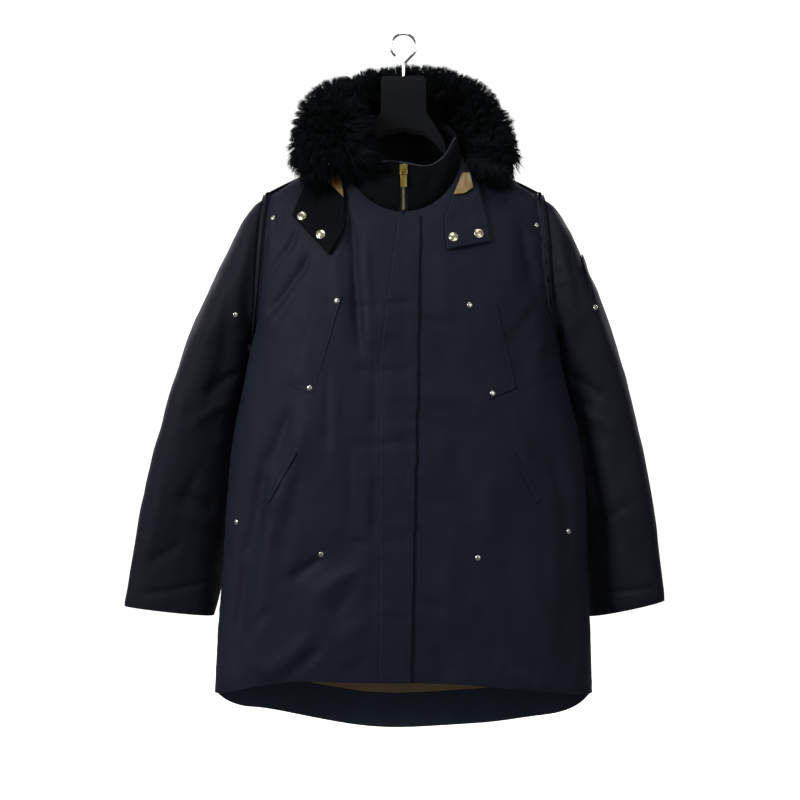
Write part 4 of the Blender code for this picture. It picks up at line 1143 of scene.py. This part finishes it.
# each row: x0, z0, x1, z1, half width, height and bow, all in millimetres
FRONT_FOLDS = creases(
    # beside the placket: a long sharp crease with a ridge on each side
    (-78, -270, -72, -335, 5.5, -5.5, -1),
    (-73, -310, -60, -490, 5.5, -6, -3),
    (-56, -300, -49, -500, 9, 4.4),
    (-98, -300, -80, -480, 12, 2.2, -4),
    (-41, -498, -42, -600, 6, -3.6),
    (-42, -655, -43, -750, 6, -3.2),
    (-42, -600, -44, -950, 6, -1.6),
    # from the armhole towards the chest
    (-135, -330, -200, -425, 7.5, -6, 5),
    (-156, -293, -173, -335, 6, -4.5),
    (-146, -352, -208, -458, 10, 4.2, 4),
    (-170, -320, -215, -385, 6, -3),
    (-194, -268, -198, -335, 8, 2.8),
    (-180, -262, -186, -300, 6, -2.6),
    (-126, -330, -134, -420, 11, -2, 4),
    # down the wearer's right side
    (-165, -555, -205, -655, 10, -4.8, 4),
    (-205, -640, -232, -790, 10, -5.2, 4),
    (-232, -770, -252, -965, 10, -4.2),
    (-143, -577, -197, -722, 13, 4, 5),
    (-190, -705, -223, -930, 14, 3.8),
    (-150, -650, -182, -800, 12, -2.6, -4),
    (-111, -496, -112, -625, 5, -2.2),
    (-98, -520, -100, -640, 8, 1.4),
    (-78, -600, -79, -737, 6, -2),
    # across the lower right front
    (-60, -790, -136, -838, 11, 4, -4),
    (-116, -776, -170, -812, 8, -4.8),
    (-75, -752, -48, -758, 6, -2),
    (-70, -815, -110, -865, 10, -2.6, 3),
    (-130, -885, -212, -960, 13, 4, 4),
    (-116, -905, -180, -962, 9, -3),
    (-60, -870, -100, -905, 12, 2.2),
    (-55, -925, -100, -958, 10, -2),
    (-190, -850, -235, -905, 8, -2.4, -3),
    # the wearer's left front
    (42, -905, 66, -960, 11, -3.6),
    (75, -915, 100, -955, 10, 2),
    (150, -943, 204, -972, 10, 3.2),
    (140, -960, 190, -985, 7, -2.2),
    (206, -512, 238, -517, 6, -2.4),
    (17, -538, 130, -552, 14, 2.2),
    (20, -575, 130, -600, 14, -1.6, -4),
    (174, -290, 200, -392, 10, -3.6, -3),
    (192, -410, 150, -470, 11, -2.8, 4),
    (205, -455, 190, -530, 12, 2.8, -5),
    (70, -600, 95, -730, 14, -2.4, 5),
    (120, -650, 128, -760, 13, 2.2),
    (60, -780, 82, -900, 15, 2.4, -6),
    (215, -620, 250, -800, 13, -3.2, 6),
    (180, -800, 215, -930, 15, 2.8, 6),
    (110, -840, 150, -930, 13, -2.2, -4),
    (150, -560, 185, -640, 12, 2, 4),
    (158, -626, 203, -704, 3.5, -2.4),
    (58, -330, 70, -440, 14, 1.8, -4),
    # waves where the placket is sewn on
    (-74, -409, -34, -413, 6, -1.8),
    (-76, -503, -34, -507, 7, -2),
    (-78, -611, -36, -615, 7, -2),
    (26, -430, 66, -437, 7, -1.6),
    (24, -560, 64, -566, 8, -1.4),
    (24, -690, 66, -698, 8, -1.6),
    (16, -840, 60, -852, 9, -1.6),
)
BACK_FOLDS = creases(
    (-150, -500, -186, -640, 8, -4.5, 6),
    (-186, -640, -214, -860, 9, -3.9, -5),
    (-128, -540, -160, -760, 11, 3.3, 6),
    (146, -490, 190, -650, 8, -4.5, -6),
    (190, -650, 222, -880, 9, -3.6, 4),
    (120, -560, 158, -790, 11, 3, -5),
    (-190, -345, -120, -430, 8, -4.5, -5),
    (-196, -380, -140, -470, 9, 3.3),
    (192, -350, 118, -424, 8, -4.5, 5),
    (198, -392, 142, -476, 9, 3),
    (-40, -640, -66, -900, 10, -3, 8),
    (-12, -700, -20, -960, 12, 2.4, -6),
    (60, -680, 78, -940, 10, -2.7, -8),
    (35, -520, 20, -660, 10, 1.8, 6),
    (-80, -900, -140, -975, 10, 2.7, 5),
    (100, -930, 160, -985, 10, 2.4, -5),
    (-200, -800, -130, -850, 9, -2.4, 4),
    (205, -760, 150, -800, 8, -2.2),
    (-60, -330, 60, -336, 12, -1.8, 6),
    (-40, -990, 50, -1000, 10, -1.8),
)
SLEEVE_RIGHT_FOLDS = creases(
    (-235, -300, -262, -430, 9, -4.4, -6),
    (-262, -430, -290, -560, 10, -3.4, 6),
    (-250, -345, -300, -470, 11, 3.1, 8),
    (-248, -500, -300, -540, 7, -4.1, 4),
    (-250, -545, -320, -590, 8, 3.1, -4),
    (-330, -560, -275, -610, 7, -3.1, 4),
    (-345, -690, -276, -716, 6, -3.7, 5),
    (-350, -715, -280, -742, 8, 2.7, 4),
    (-300, -640, -345, -790, 12, -2.7, -8),
    (-330, -760, -385, -790, 7, -2.4, 3),
    (-290, -820, -400, -838, 4.5, -3.1, 4),
    (-360, -640, -390, -800, 12, 2.7, 6),
)
SLEEVE_LEFT_FOLDS = creases(
    (236, -300, 262, -430, 9, -4.1, 6),
    (258, -440, 282, -580, 10, -3.4, -6),
    (280, -360, 312, -500, 11, 3.1, -6),
    (250, -505, 304, -545, 7, -3.7, -4),
    (252, -560, 322, -600, 8, 2.7, 4),
    (262, -650, 300, -800, 10, -3.4, 8),
    (300, -600, 335, -740, 12, 2.7, -6),
    (345, -700, 290, -735, 7, -3.1, -4),
    (280, -835, 385, -826, 4.5, -2.7, -4),
    (340, -760, 370, -812, 8, -2),
)
HOOD_FOLDS = creases(
    (-110, -110, -80, -250, 9, -2.6, 6),
    (-70, -130, -50, -280, 8, -2.9, -5),
    (112, -120, 82, -240, 9, -2.6, -6),
    (72, -140, 46, -270, 8, -2.6, 5),
    (-30, -110, -10, -270, 10, 2.3, 6),
    (28, -120, 36, -250, 9, -2.1, -4),
    (-60, -230, 60, -245, 10, -2.9, 10),
)
COLLAR_FOLDS = creases(
    (-62, -205, -40, -245, 6, -2.1, 2),
    (-45, -190, -12, -200, 5, 1.4),
    (50, -200, 34, -250, 6, -2.1, -2),
    (66, -180, 58, -220, 5, 1.5),
)
PLACKET_FOLDS = creases(
    (-36, -411, 20, -407, 7, -1.7, 2),
    (-38, -505, 18, -502, 8, -1.9, -2),
    (-40, -613, 16, -609, 8, -1.7, 2),
    (-40, -755, 12, -750, 8, -1.1),
    (-39, -860, 12, -868, 8, -0.9),
)


@dataclass
class Coat:
    """The coat's padded panels and what is laid on them."""

    hem: float = -0.962
    neck: float = -0.30
    facing_height: float = 0.045
    # where the collar's painted edge highlight runs on x, and how far forward it lies
    highlight_ends: tuple[float, float] = (-0.068, 0.078)
    highlight_front: float = -0.010
    relief_front: Relief = field(default_factory=Relief)
    relief_left: Relief = field(default_factory=Relief)
    relief_right: Relief = field(default_factory=Relief)

    def build_panels(self) -> list[Piece]:
        """Fronts, back, sleeves and collar.

        Returns:
            The pieces that fasteners sit on.
        """
        front, left, right = [self.relief_front], [self.relief_left], [self.relief_right]
        body = Puff(seam_sink=1.0 * MM, seam_reach=5 * MM, armhole=3.5 * MM)
        armhole = Puff(
            billow=2.6 * MM, seam_sink=1.2 * MM, pucker=1.8 * MM, armhole=5.0 * MM, armhole_reach=22 * MM
        )
        low = Puff(billow=0.9 * MM, billow_period=(0.04, 0.04, 0.04), seam_sink=0.7 * MM, pucker=0.7 * MM)
        lined = {"lining_above": self.hem + self.facing_height, "lining_below": self.neck}
        # the sleeves' darker twill is painted shade
        sleeve = {"cloth": "sleeve", "lining_above": -0.800, "swollen": 13 * MM}
        made = [
            PaddedPanel("front_right", FRONT_FOLDS, body, **lined).build(front),
            PaddedPanel("front_left", FRONT_FOLDS, body, **lined).build(front),
            PaddedPanel("sleeve_right", SLEEVE_RIGHT_FOLDS, armhole, **sleeve, seed=4.0).build(right),
            PaddedPanel("sleeve_left", SLEEVE_LEFT_FOLDS, armhole, **sleeve, seed=6.0).build(left),
        ]
        PaddedPanel("back", BACK_FOLDS, body, lining_above=-0.93, lining_below=self.neck, seed=2.0).build()
        collar = PaddedPanel("collar", COLLAR_FOLDS, low, cloth="collar", fill=0.35, kept=1.0, seed=8.0)
        made.append(collar.build())
        # a pale tube on the collar's edge: painted highlight
        self.lay_edge_highlight(Cloth(made[-1:]))
        # the facing's lighter twill is painted light on the shaded inside of the back
        ThinSheet("back_facing", (0.570, 0.055), 0.0301, ("back",), cloth="facing", billow=2.5 * MM).build()
        ThinSheet(
            "back_lining", (0.570, 0.084), 0.0467, ("back",), "gold_lining", "gold_lining", levels=3,
            billow=2.0 * MM,
        ).build()
        return made

    def lay_edge_highlight(self, collar: Cloth) -> None:
        """Lays a thin pale tube along the collar's top edge, as far as it shows from the front: a painted
        highlight on that edge.
        """
        path = []
        for x in np.linspace(*self.highlight_ends, 60):
            for z in np.arange(-0.130, -0.230, -0.0004):
                found = collar.hit(x, z)
                if found and found[0].y < self.highlight_front:
                    path.append(found[0] + Vector((0, -0.4 * MM, -0.2 * MM)))
                    break
        flat = np.array(path)
        for _ in range(4):
            flat[1:-1] = (flat[:-2] + 2 * flat[1:-1] + flat[2:]) / 4
        tube("collar_edge_highlight", flat, 1.1 * MM, "edge_highlight")

    def build_laid(self) -> list[Piece]:
        """Placket, flaps, welts, tabs and the lining's corners.

        Returns:
            The pieces that fasteners sit on.
        """
        on_front = self.relief_front
        tab = {"stitch_inset": 6 * MM}
        flap = {"voxel": 1.2 * MM}
        made = [
            LaidPiece("placket", on_front, voxel=2.0 * MM, folds=PLACKET_FOLDS, **tab),
            LaidPiece("chest_flap_right", on_front, sunk=2.0 * MM, billow=0.2 * MM, seed=1.0, **flap),
            LaidPiece("chest_flap_left", on_front, sunk=1.2 * MM, billow=0.3 * MM, seed=2.0, **flap),
            # this tab is the shell twill: its near-black collar finish is painted shade from the fur
            LaidPiece("hood_tab_right", on_front, billow=2.6 * MM, cloth="collar", seed=3.0, **tab),
            LaidPiece("hood_tab_left", on_front, billow=2.2 * MM, seed=4.0, **tab),
        ]
        made = [laid.build() for laid in made]
        thin = {"voxel": 1.1 * MM, "smoothing": 3, "stitch_inset": None}
        LaidPiece("pocket_welt_right", on_front, sunk=1.9 * MM, **thin).build()
        LaidPiece("pocket_welt_left", on_front, sunk=1.5 * MM, **thin).build()
        # the sleeve's darker twill here is painted shade
        LaidPiece("sleeve_welt_left", self.relief_left, sunk=0.6 * MM, cloth="sleeve", **thin).build()
        satin = {"slot": "gold_lining", "cloth": "gold_lining", "levels": 3}
        corners = (("right", (0.023, 0.047), 0.00055), ("left", (0.023, 0.048), 0.00071))
        for seed, (side, flat, area) in enumerate(corners):
            corner = ThinSheet(
                f"hood_lining_{side}", flat, area, (f"hood_tab_{side}",), **satin,
                billow=0.9 * MM, period=0.012, seed=seed,
            )
            made.append(corner.build())
        return made


def tube(name: str, path: Array, radius: float, finish: str) -> Piece:
    """Sweeps a round, capped tube along a path.

    Args:
        name: The piece's name.
        path: The points it follows.
        radius: Its radius.
        finish: Its finish.

    Returns:
        The finished piece.
    """
    curve = bpy.data.curves.new(name, "CURVE")
    curve.dimensions = "3D"
    curve.bevel_depth, curve.bevel_resolution, curve.use_fill_caps = radius, 2, True
    line = curve.splines.new("POLY")
    line.points.add(len(path) - 1)
    line.points.foreach_set("co", np.insert(path, 3, 1, axis=1).ravel())
    activate(linked(name, curve))
    bpy.ops.object.convert(target="MESH")
    piece = bpy.context.object
    map_cloth(piece, around=False)
    piece.data.shade_smooth()
    dress(piece, [finish])
    return piece


# ---------------------------------------------------------------- metal and plastic


def profile(*rows: tuple[float, float]) -> tuple[Step, ...]:
    """A turned shape's rings, from rows of radius and height in millimetres."""
    return tuple(Step(radius * MM, height * MM) for radius, height in rows)


STUD_PROFILE = profile(
    (6.4, -1.6), (6.9, 0.1), (7.1, 0.5), (6.9, 0.9), (6.3, 1.15), (5.6, 1.1), (5.1, 0.75), (4.7, 0.7),
    (4.3, 1.0), (3.4, 1.35), (2.0, 1.55), (0.5, 1.6),
)
RIVET_PROFILE = profile((3.6, -1.4), (4.0, 0.1), (4.1, 0.4), (3.8, 0.9), (3.0, 1.35), (1.8, 1.6), (0.5, 1.7))


@dataclass
class Fasteners:
    """The press studs on the hood's tabs, and the rivets at the pockets, shoulders and sleeves."""

    studs: int = 4
    rivets: int = 12

    def build(self, cloth: Cloth) -> None:
        """Turns one of each kind and seats its copies on the cloth."""
        studs = [f"snap_{k}" for k in range(1, self.studs + 1)]
        rivets = [f"rivet_{k:02d}" for k in range(1, self.rivets + 1)]
        self.seat(cloth, studs, STUD_PROFILE, "stud", "gold_metal")
        self.seat(cloth, rivets, RIVET_PROFILE, "nickel", "steel")

    def seat(self, cloth: Cloth, nodes: list[str], rings: Sequence[Step], finish: str, slot: str) -> None:
        """Seats a copy of one turned fastener where each of these solids is.

        Args:
            cloth: The cloth under them.
            nodes: The solids that they replace.
            rings: The fastener's rings.
            finish: Its finish.
            slot: Not used.
        """
        pattern = turned(f"{finish}_pattern", rings)
        smooth_shade(pattern, 50)
        reach = 0.85 * max(step.radius for step in rings)
        for node in nodes:
            low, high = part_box(node)
            middle = (low + high) / 2
            piece = linked(f"{node}_turned", pattern.data.copy())
            piece.data.transform(cloth.seat(middle.x, middle.z, reach))
            dress(piece, [finish], node=node)
        bpy.data.objects.remove(pattern)


@dataclass
class Zip:
    """The zip where it shows in the collar: woven tape, two rows of teeth, a slider and its pull tab."""

    pitch: float = 2.6 * MM
    tooth_width: float = 2.7 * MM
    tooth_length: float = 1.5 * MM
    tooth_depth: float = 1.6 * MM
    tooth_aside: float = 0.85 * MM
    tooth_round: float = 0.35 * MM
    # how far the first and last teeth are from the chain's lower and upper end
    ends: tuple[float, float] = (1.2 * MM, 0.8 * MM)

    def build(self) -> None:
        """Makes the zip's pieces."""
        self.teeth()
        ThinSheet(
            "zip_tape", (0.0120, 0.0741), 0.00086, ("collar",), "zip_tape", "zip_tape", Held.STRETCHED,
            billow=0.1 * MM,
        ).build()
        edges = {"limit_method": "ANGLE", "angle_limit": math.radians(35)}
        for node, body in (("zip_slider", GARMENT), ("zip_pull", PULL)):
            piece = merged_copy(node, f"{node}_cast")
            apply_modifier(piece, "BEVEL", width=0.25 * MM, segments=2, **edges)
            smooth_shade(piece, 40)
            dress(piece, ["gold_metal"], body, node)

    def teeth(self) -> None:
        """Sets teeth in turn left and right along the chain, from one small bevelled block."""
        chain = Cloth([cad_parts["zip_chain"]])
        low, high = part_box("zip_chain")
        bpy.ops.object.select_all(action="DESELECT")
        bpy.ops.mesh.primitive_cube_add(size=1)
        pattern = bpy.context.object
        pattern.scale = (self.tooth_width, self.tooth_length, self.tooth_depth)
        bpy.ops.object.transform_apply(scale=True)
        with editing(pattern):
            bpy.ops.mesh.bevel(offset=self.tooth_round, segments=2, affect="EDGES")
        places = []
        below, above = self.ends
        for count, z in enumerate(np.arange(low.z + below, high.z - above, self.pitch / 2)):
            seat = chain.seat(0.0, z, 0.8 * MM)
            side = self.tooth_aside if count % 2 else -self.tooth_aside
            places.append(seat @ Matrix.Translation((side, 0, 0.1 * MM - self.tooth_depth / 2)))
        piece = set_many("zip_teeth", pattern, places)
        smooth_shade(piece, 50)
        dress(piece, ["chain"], node="zip_chain")


@dataclass
class Hanger:
    """The hanger, whose solids have the right shape and only need their finishes."""

    finishes: tuple[tuple[str, str], ...] = (("hanger_body", "hanger_plastic"), ("hanger_hook", "chrome"))

    def build(self) -> None:
        """Puts the finishes in the solids' material slots."""
        for node, finish in self.finishes:
            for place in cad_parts[node].material_slots:
                place.material = FINISHES[finish]


# ---------------------------------------------------------------- hood and ruff


@dataclass
class Hood:
    """The three-piece hood, lying back, with its satin inside."""

    fill: float = 0.3

    def build(self) -> None:
        """Makes the three pieces. All of their inner faces are lined."""
        puff = Puff(billow=1.5 * MM, billow_period=(0.06, 0.06, 0.08), seam_sink=0.9 * MM, pucker=0.9 * MM)
        for seed, node in enumerate(("hood_side_right", "hood_centre", "hood_side_left")):
            PaddedPanel(
                node, HOOD_FOLDS, puff, around=False, fill=self.fill, lining_above=-1.0, seed=10.0 + seed
            ).build()


@dataclass
class FurRuff:
    """The fur on the hood's edge: a dark skin, and thousands of tapered locks that lean together in tufts.

    A real lock is finer, and is drawn 0.9 mm thick so that it shows.
    """

    node: str = "hood_fur"
    locks: int = 34000
    length: float = 0.0165
    root_width: float = 0.45 * MM
    # how far the skin is sunk under the ruff's surface, at most and as a share of its thickness
    skin_depth: float = 0.010
    skin_share: float = 0.30
    # how far a lock bows outward, and how far it leans to its tuft's tip, which sways
    bow: float = 0.16
    tufts: int = 1500
    clump: float = 0.42
    tuft_sway: float = 0.26
    # the share of locks that are longer, and how much longer
    stray: float = 0.05
    stray_longer: float = 1.3
    # the locks fan out from the hub, hang down and stray
    hub: tuple[float, float, float] = (0.0, 0.0, -0.148)
    fan: float = 0.34
    hang: float = 0.18
    scatter: float = 0.34
    # below this height, in front, they fall over the coat: more of them, longer and downwards
    fall_from: float = -0.163
    fall_depth: float = 0.030
    fall_front: float = 0.02
    fall_share: float = 0.75
    fall_longer: float = 1.7
    fall_crowd: float = 2.2
    # where they fall: across on the right half and on the left half, its scatter, forwards and down
    fall_across: tuple[float, float] = (0.22, -0.12)
    fall_scatter: float = 0.20
    fall_lean: tuple[float, float] = (-0.30, -0.90)
    # beside the throat they lean over the opening
    throat: tuple[float, float] = (-0.074, -0.115)
    throat_width: float = 0.016
    throat_lean: tuple[float, float, float] = (0.90, -0.45, -0.30)
    throat_share: float = 0.8
    throat_longer: float = 1.2
    # the share of locks kept over the corners of lining, and above them
    kept_over_satin: float = 0.06
    kept_above_satin: float = 0.40
    satin_top: float = -0.204
    # how far a falling lock's middle and tip stand off the cloth, at least, and up to how much more
    middle_off: float = 2.5 * MM
    tip_off: float = 0.8 * MM
    off_scatter: float = 3 * MM
    # a lock's tone: most are dark, up to the lightest
    tone_power: float = 1.6
    lightest: float = 0.9
    seed: int = 11

    def build(self, cloth: Cloth) -> None:
        """Makes the skin, then the locks of the ruff's right and left halves.

        Args:
            cloth: What the falling locks lie on.
        """
        skin = merged_copy(self.node, "fur_skin")
        subdivide(skin, 1)
        solid = BVHTree.FromObject(skin, bpy.context.evaluated_depsgraph_get())
        points, normals = points_of(skin), normals_of(skin)
        depth = np.empty(len(points))
        for row, (point, normal) in enumerate(zip(points, normals)):
            inward = -Vector(normal)
            _, _, _, through = solid.ray_cast(Vector(point) + inward * 0.3 * MM, inward)
            depth[row] = min(self.skin_depth, self.skin_share * (through or 0.0))
        set_points(skin, points - normals * depth[:, None])
        apply_modifier(skin, "SMOOTH", factor=0.5, iterations=2)
        set_weights(skin.data, "pile", depth / self.skin_depth)
        subdivide(skin, 1)
        map_cloth(skin, around=False)
        smooth_shade(skin, 180)
        # the skin's near black is painted shade between the locks
        dress(skin, ["fur_backing_painted_shade"], node=self.node)
        roots, normals, pile = self.roots(skin)
        tips, middles = self.lean(roots, normals, pile)
        shown = self.off_satin(tips, middles)
        roots, tips, middles = roots[shown], tips[shown], middles[shown]
        self.lay(cloth, roots, middles, tips)
        right = roots[:, 0] < 0
        for name, chosen in (("fur_locks_right", right), ("fur_locks_left", ~right)):
            dress(self.grow(name, roots[chosen], middles[chosen], tips[chosen]), ["fur"])

    def roots(self, skin: Piece) -> tuple[Array, Array, Array]:
        """Scatters the locks' roots evenly over the skin.

        Args:
            skin: The ruff's backing.

        Returns:
            The roots, the skin's normals there, and how deep the fur is there, up to 1.
        """
        draw = np.random.default_rng(self.seed)
        points, normals, pile = points_of(skin), normals_of(skin), weights_of(skin, "pile")
        skin.data.calc_loop_triangles()
        corners = np.array([triangle.vertices[:] for triangle in skin.data.loop_triangles])
        a, b, c = (points[corners[:, k]] for k in range(3))
        area = np.linalg.norm(np.cross(b - a, c - a), axis=1)
        height, depth = ((a + b + c) / 3)[:, 2], ((a + b + c) / 3)[:, 1]
        falling = np.clip((self.fall_from + 0.02 - height) / self.fall_depth, 0, 1)
        area *= 1 + self.fall_crowd * falling * (depth < 0.03)
        which = draw.choice(len(corners), self.locks, p=area / area.sum())
        share = draw.random((len(which), 2))
        over = share.sum(axis=1) > 1
        share[over] = 1 - share[over]
        weights = np.stack([1 - share.sum(axis=1), *share.T], axis=1)
        own = corners[which]
        places = (points[own] * weights[:, :, None]).sum(axis=1)
        directions = (normals[own] * weights[:, :, None]).sum(axis=1)
        return places, directions, np.clip((pile[own] * weights).sum(axis=1), 0.35, 1)

    def lean(self, roots: Array, normals: Array, pile: Array) -> tuple[Array, Array]:
        """Where each lock's tip and middle lie, once it leans into its tuft.

        Args:
            roots: The locks' roots.
            normals: The skin's normals there.
            pile: How deep the fur is there, up to 1.

        Returns:
            The tips and the middles.
        """
        draw = np.random.default_rng(self.seed + 1)
        count = len(roots)
        outward = roots - np.array(self.hub)
        outward[:, 1] = 0
        hang = np.array([0.0, 0.0, -self.hang])
        comb = normals + self.fan * unit(outward) + hang + self.scatter * draw.standard_normal((count, 3))
        comb = unit(comb)
        length = self.length * pile[:, None] * draw.uniform(0.7, 1.15, (count, 1))
        length[draw.random(count) < self.stray] *= self.stray_longer
        fall = np.clip((self.fall_from - roots[:, 2:]) / self.fall_depth, 0, 1)
        fall = fall * (roots[:, 1:2] < self.fall_front)
        across = np.where(roots[:, :1] < 0, *self.fall_across)
        across = across + self.fall_scatter * draw.standard_normal((count, 1))
        down = np.hstack([across, np.tile(self.fall_lean, (count, 1))])
        comb = comb * (1 - self.fall_share * fall) + down * fall
        length = length * (1 + self.fall_longer * fall / np.maximum(pile[:, None], 0.5))
        x, y, z = roots.T
        throat_x, throat_z = self.throat
        throat = np.exp(-(((x - throat_x) / self.throat_width) ** 2)) * np.clip((throat_z - z) / 0.02, 0, 1)
        throat = (throat * (normals[:, 0] > -0.2) * (y < 0.0))[:, None]
        comb = comb * (1 - self.throat_share * throat) + np.array(self.throat_lean) * throat
        length = length * (1 + self.throat_longer * throat)
        comb = unit(comb)
        tips = roots + comb * length
        centres = draw.choice(count, self.tufts, replace=False)
        tree = tree_of(roots[centres])
        own = np.array([tree.find(root)[1] for root in roots])
        sway = unit(comb[centres] + self.tuft_sway * draw.standard_normal((self.tufts, 3)))
        reach = length[centres] * draw.uniform(0.85, 1.15, (self.tufts, 1))
        peaks = roots[centres] + sway * reach
        tips = tips * (1 - self.clump) + peaks[own] * self.clump
        middles = roots * 0.5 + tips * 0.5 + normals * self.bow * length
        return tips, middles

    def off_satin(self, tips: Array, middles: Array) -> Array:
        """Which locks are kept, so that the corners of lining show through a few strands.

        Args:
            tips: The locks' tips.
            middles: Their middles.

        Returns:
            True for each lock that is kept.
        """
        draw = np.random.default_rng(self.seed + 5)
        over = np.zeros(len(tips), bool)
        for node in ("hood_lining_left", "hood_lining_right"):
            low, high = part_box(node)
            for spot in (tips, (tips + middles) / 2):
                x, _, z = spot.T
                over |= (x > low.x) & (x < high.x) & (z > low.z) & (z < high.z)
        share = np.where(middles[:, 2] > self.satin_top, self.kept_above_satin, self.kept_over_satin)
        return ~over | (draw.random(len(tips)) < share)

    def lay(self, cloth: Cloth, roots: Array, middles: Array, tips: Array) -> None:
        """Brings the falling locks out in front of the cloth that they hang over.

        Args:
            cloth: The cloth.
            roots: The locks' roots.
            middles: Their middles, which are moved.
            tips: Their tips, which are moved.
        """
        draw = np.random.default_rng(self.seed + 6)
        low = np.nonzero((roots[:, 2] < self.fall_from + 0.03) & (roots[:, 1] < self.fall_front))[0]
        for spots, lift in ((middles, self.middle_off), (tips, self.tip_off)):
            for row in low:
                x, y, z = spots[row]
                found = cloth.hit(x, z)
                if found:
                    spots[row, 1] = min(y, found[0].y - lift - self.off_scatter * draw.random())

    def grow(self, name: str, roots: Array, middles: Array, tips: Array) -> Piece:
        """Makes closed, tapered, three-sided locks as one mesh.

        Args:
            name: The piece's name.
            roots: The locks' roots.
            middles: Their middles.
            tips: Their tips.

        Returns:
            The joined mesh.
        """
        draw = np.random.default_rng(self.seed + 2 + len(name))
        count = len(roots)
        spine = unit(tips - roots)
        aside = unit(np.cross(spine, draw.standard_normal((count, 3))))
        other = np.cross(spine, aside)
        width = self.root_width * draw.uniform(0.7, 1.3, (count, 1))
        rings = []
        # each ring's place along the lock, and its width there
        for share, taper in ((0.0, 1.0), (0.55, 0.8)):
            centre = roots * (1 - share) ** 2 + middles * 2 * share * (1 - share) + tips * share**2
            for corner in range(3):
                turn = 2 * math.pi * corner / 3
                rings.append(centre + (aside * math.cos(turn) + other * math.sin(turn)) * width * taper)
        points = np.stack([*rings, tips], axis=1)
        faces = [(2, 1, 0), *((k, (k + 1) % 3, 3 + (k + 1) % 3, 3 + k) for k in range(3))]
        faces += [(3 + k, 3 + (k + 1) % 3, 6) for k in range(3)]
        each = points.shape[1]
        piece = many(name, points.reshape(-1, 3), faces, each, count)
        tones = draw.random(count) ** self.tone_power * self.lightest
        set_weights(piece.data, "lock_tone", np.repeat(tones, each))
        piece.data.shade_smooth()
        return piece


# ---------------------------------------------------------------- studio


class Lamp(NamedTuple):
    """A soft light: its place and size in metres, and its power in watts."""

    name: str
    x: float
    y: float
    z: float
    width: float
    height: float
    power: float


LIGHTS = (
    Lamp("key", -3.0, -2.7, 0.9, 1.2, 1.2, 140.0),
    Lamp("fill", 2.0, -3.4, 0.3, 2.4, 2.4, 30.0),
    Lamp("top", 0.0, -0.8, 2.4, 1.6, 1.6, 28.0),
    Lamp("back_right", -2.6, 2.8, 1.0, 2.0, 2.0, 60.0),
    Lamp("back_left", 2.6, 2.8, 1.0, 2.0, 2.0, 60.0),
)


@dataclass
class Studio:
    """A pale floor that curves up all round, soft lights, and the camera."""

    floor_height: float = -1.42
    floor_radius: float = 6.5
    wall_radius: float = 9.0
    wall_height: float = 7.0
    sky: float = 0.19
    paint: str = "#f4f4f2"
    glow: float = 0.95
    # the lights' aim, and the camera's place and lens
    aim: tuple[float, float, float] = (0, 0, -0.55)
    eye: tuple[float, float, float] = (-0.00525, -3.0, -0.5475)
    lens: float = 90
    sensor: float = 36

    def build(self) -> None:
        """Makes the floor, the lights and the camera."""
        self.floor()
        for light in LIGHTS:
            self.lamp(light)
        world = bpy.data.worlds.new("studio")
        world.use_nodes = True
        background = world.node_tree.nodes["Background"]
        background.inputs["Color"].default_value = srgb("#ffffff")
        background.inputs["Strength"].default_value = self.sky
        bpy.context.scene.world = world
        bpy.context.scene.view_settings.view_transform = "Standard"
        self.camera()

    def floor(self) -> None:
        """One bowl: a flat floor whose edge rises into a wall."""
        bowl = disc("studio_floor", self.floor_radius, self.floor_height, 96)
        curve = self.wall_radius - self.floor_radius
        radius, steps = self.floor_radius, 8
        with editing(bowl):
            for step in range(1, steps + 1):
                turn = math.pi / 2 * step / steps
                wide = self.floor_radius + curve * math.sin(turn)
                rise = curve * (math.cos(turn - math.pi / 2 / steps) - math.cos(turn))
                rise_and_grow(rise, wide / radius)
                radius = wide
            rise_and_grow(self.wall_height, 1.0)
            bpy.ops.mesh.delete(type="ONLY_FACE")
        smooth_shade(bowl, 30)
        pale = bpy.data.materials.new("painted_studio")
        pale.use_nodes = True
        shader = pale.node_tree.nodes["Principled BSDF"]
        shader.inputs["Base Color"].default_value = srgb(self.paint)
        shader.inputs["Roughness"].default_value = 0.9
        shader.inputs["Emission Color"].default_value = srgb("#ffffff")
        shader.inputs["Emission Strength"].default_value = self.glow
        bowl.data.materials.append(pale)
        bowl.visible_diffuse = False
        bowl.visible_glossy = False
        bowl.visible_shadow = False

    def lamp(self, light: Lamp) -> None:
        """Adds one soft light, aimed at the coat's middle."""
        data = bpy.data.lights.new(light.name, "AREA")
        data.shape = "RECTANGLE"
        data.size, data.size_y = light.width, light.height
        data.energy = light.power
        made = linked(light.name, data)
        made.location = (light.x, light.y, light.z)
        aim = Vector(self.aim) - made.location
        made.rotation_euler = aim.to_track_quat("-Z", "Y").to_euler()
        made.visible_camera = False

    def camera(self) -> None:
        """The camera: level, three metres in front of the coat."""
        data = bpy.data.cameras.new("camera")
        data.lens = self.lens
        data.sensor_width = self.sensor
        made = linked("camera", data)
        made.location = self.eye
        made.rotation_euler = (math.radians(90), 0, 0)
        bpy.context.scene.camera = made


def main() -> None:
    """Builds the looks."""
    Studio().build()
    coat = Coat()
    seated = coat.build_panels()
    seated += coat.build_laid()
    Hood().build()
    FurRuff().build(Cloth(seated))
    Zip().build()
    Fasteners().build(Cloth(seated))
    Hanger().build()


if __name__ == "__main__":
    logging.basicConfig(level=logging.INFO, format="%(name)s: %(message)s")
    main()
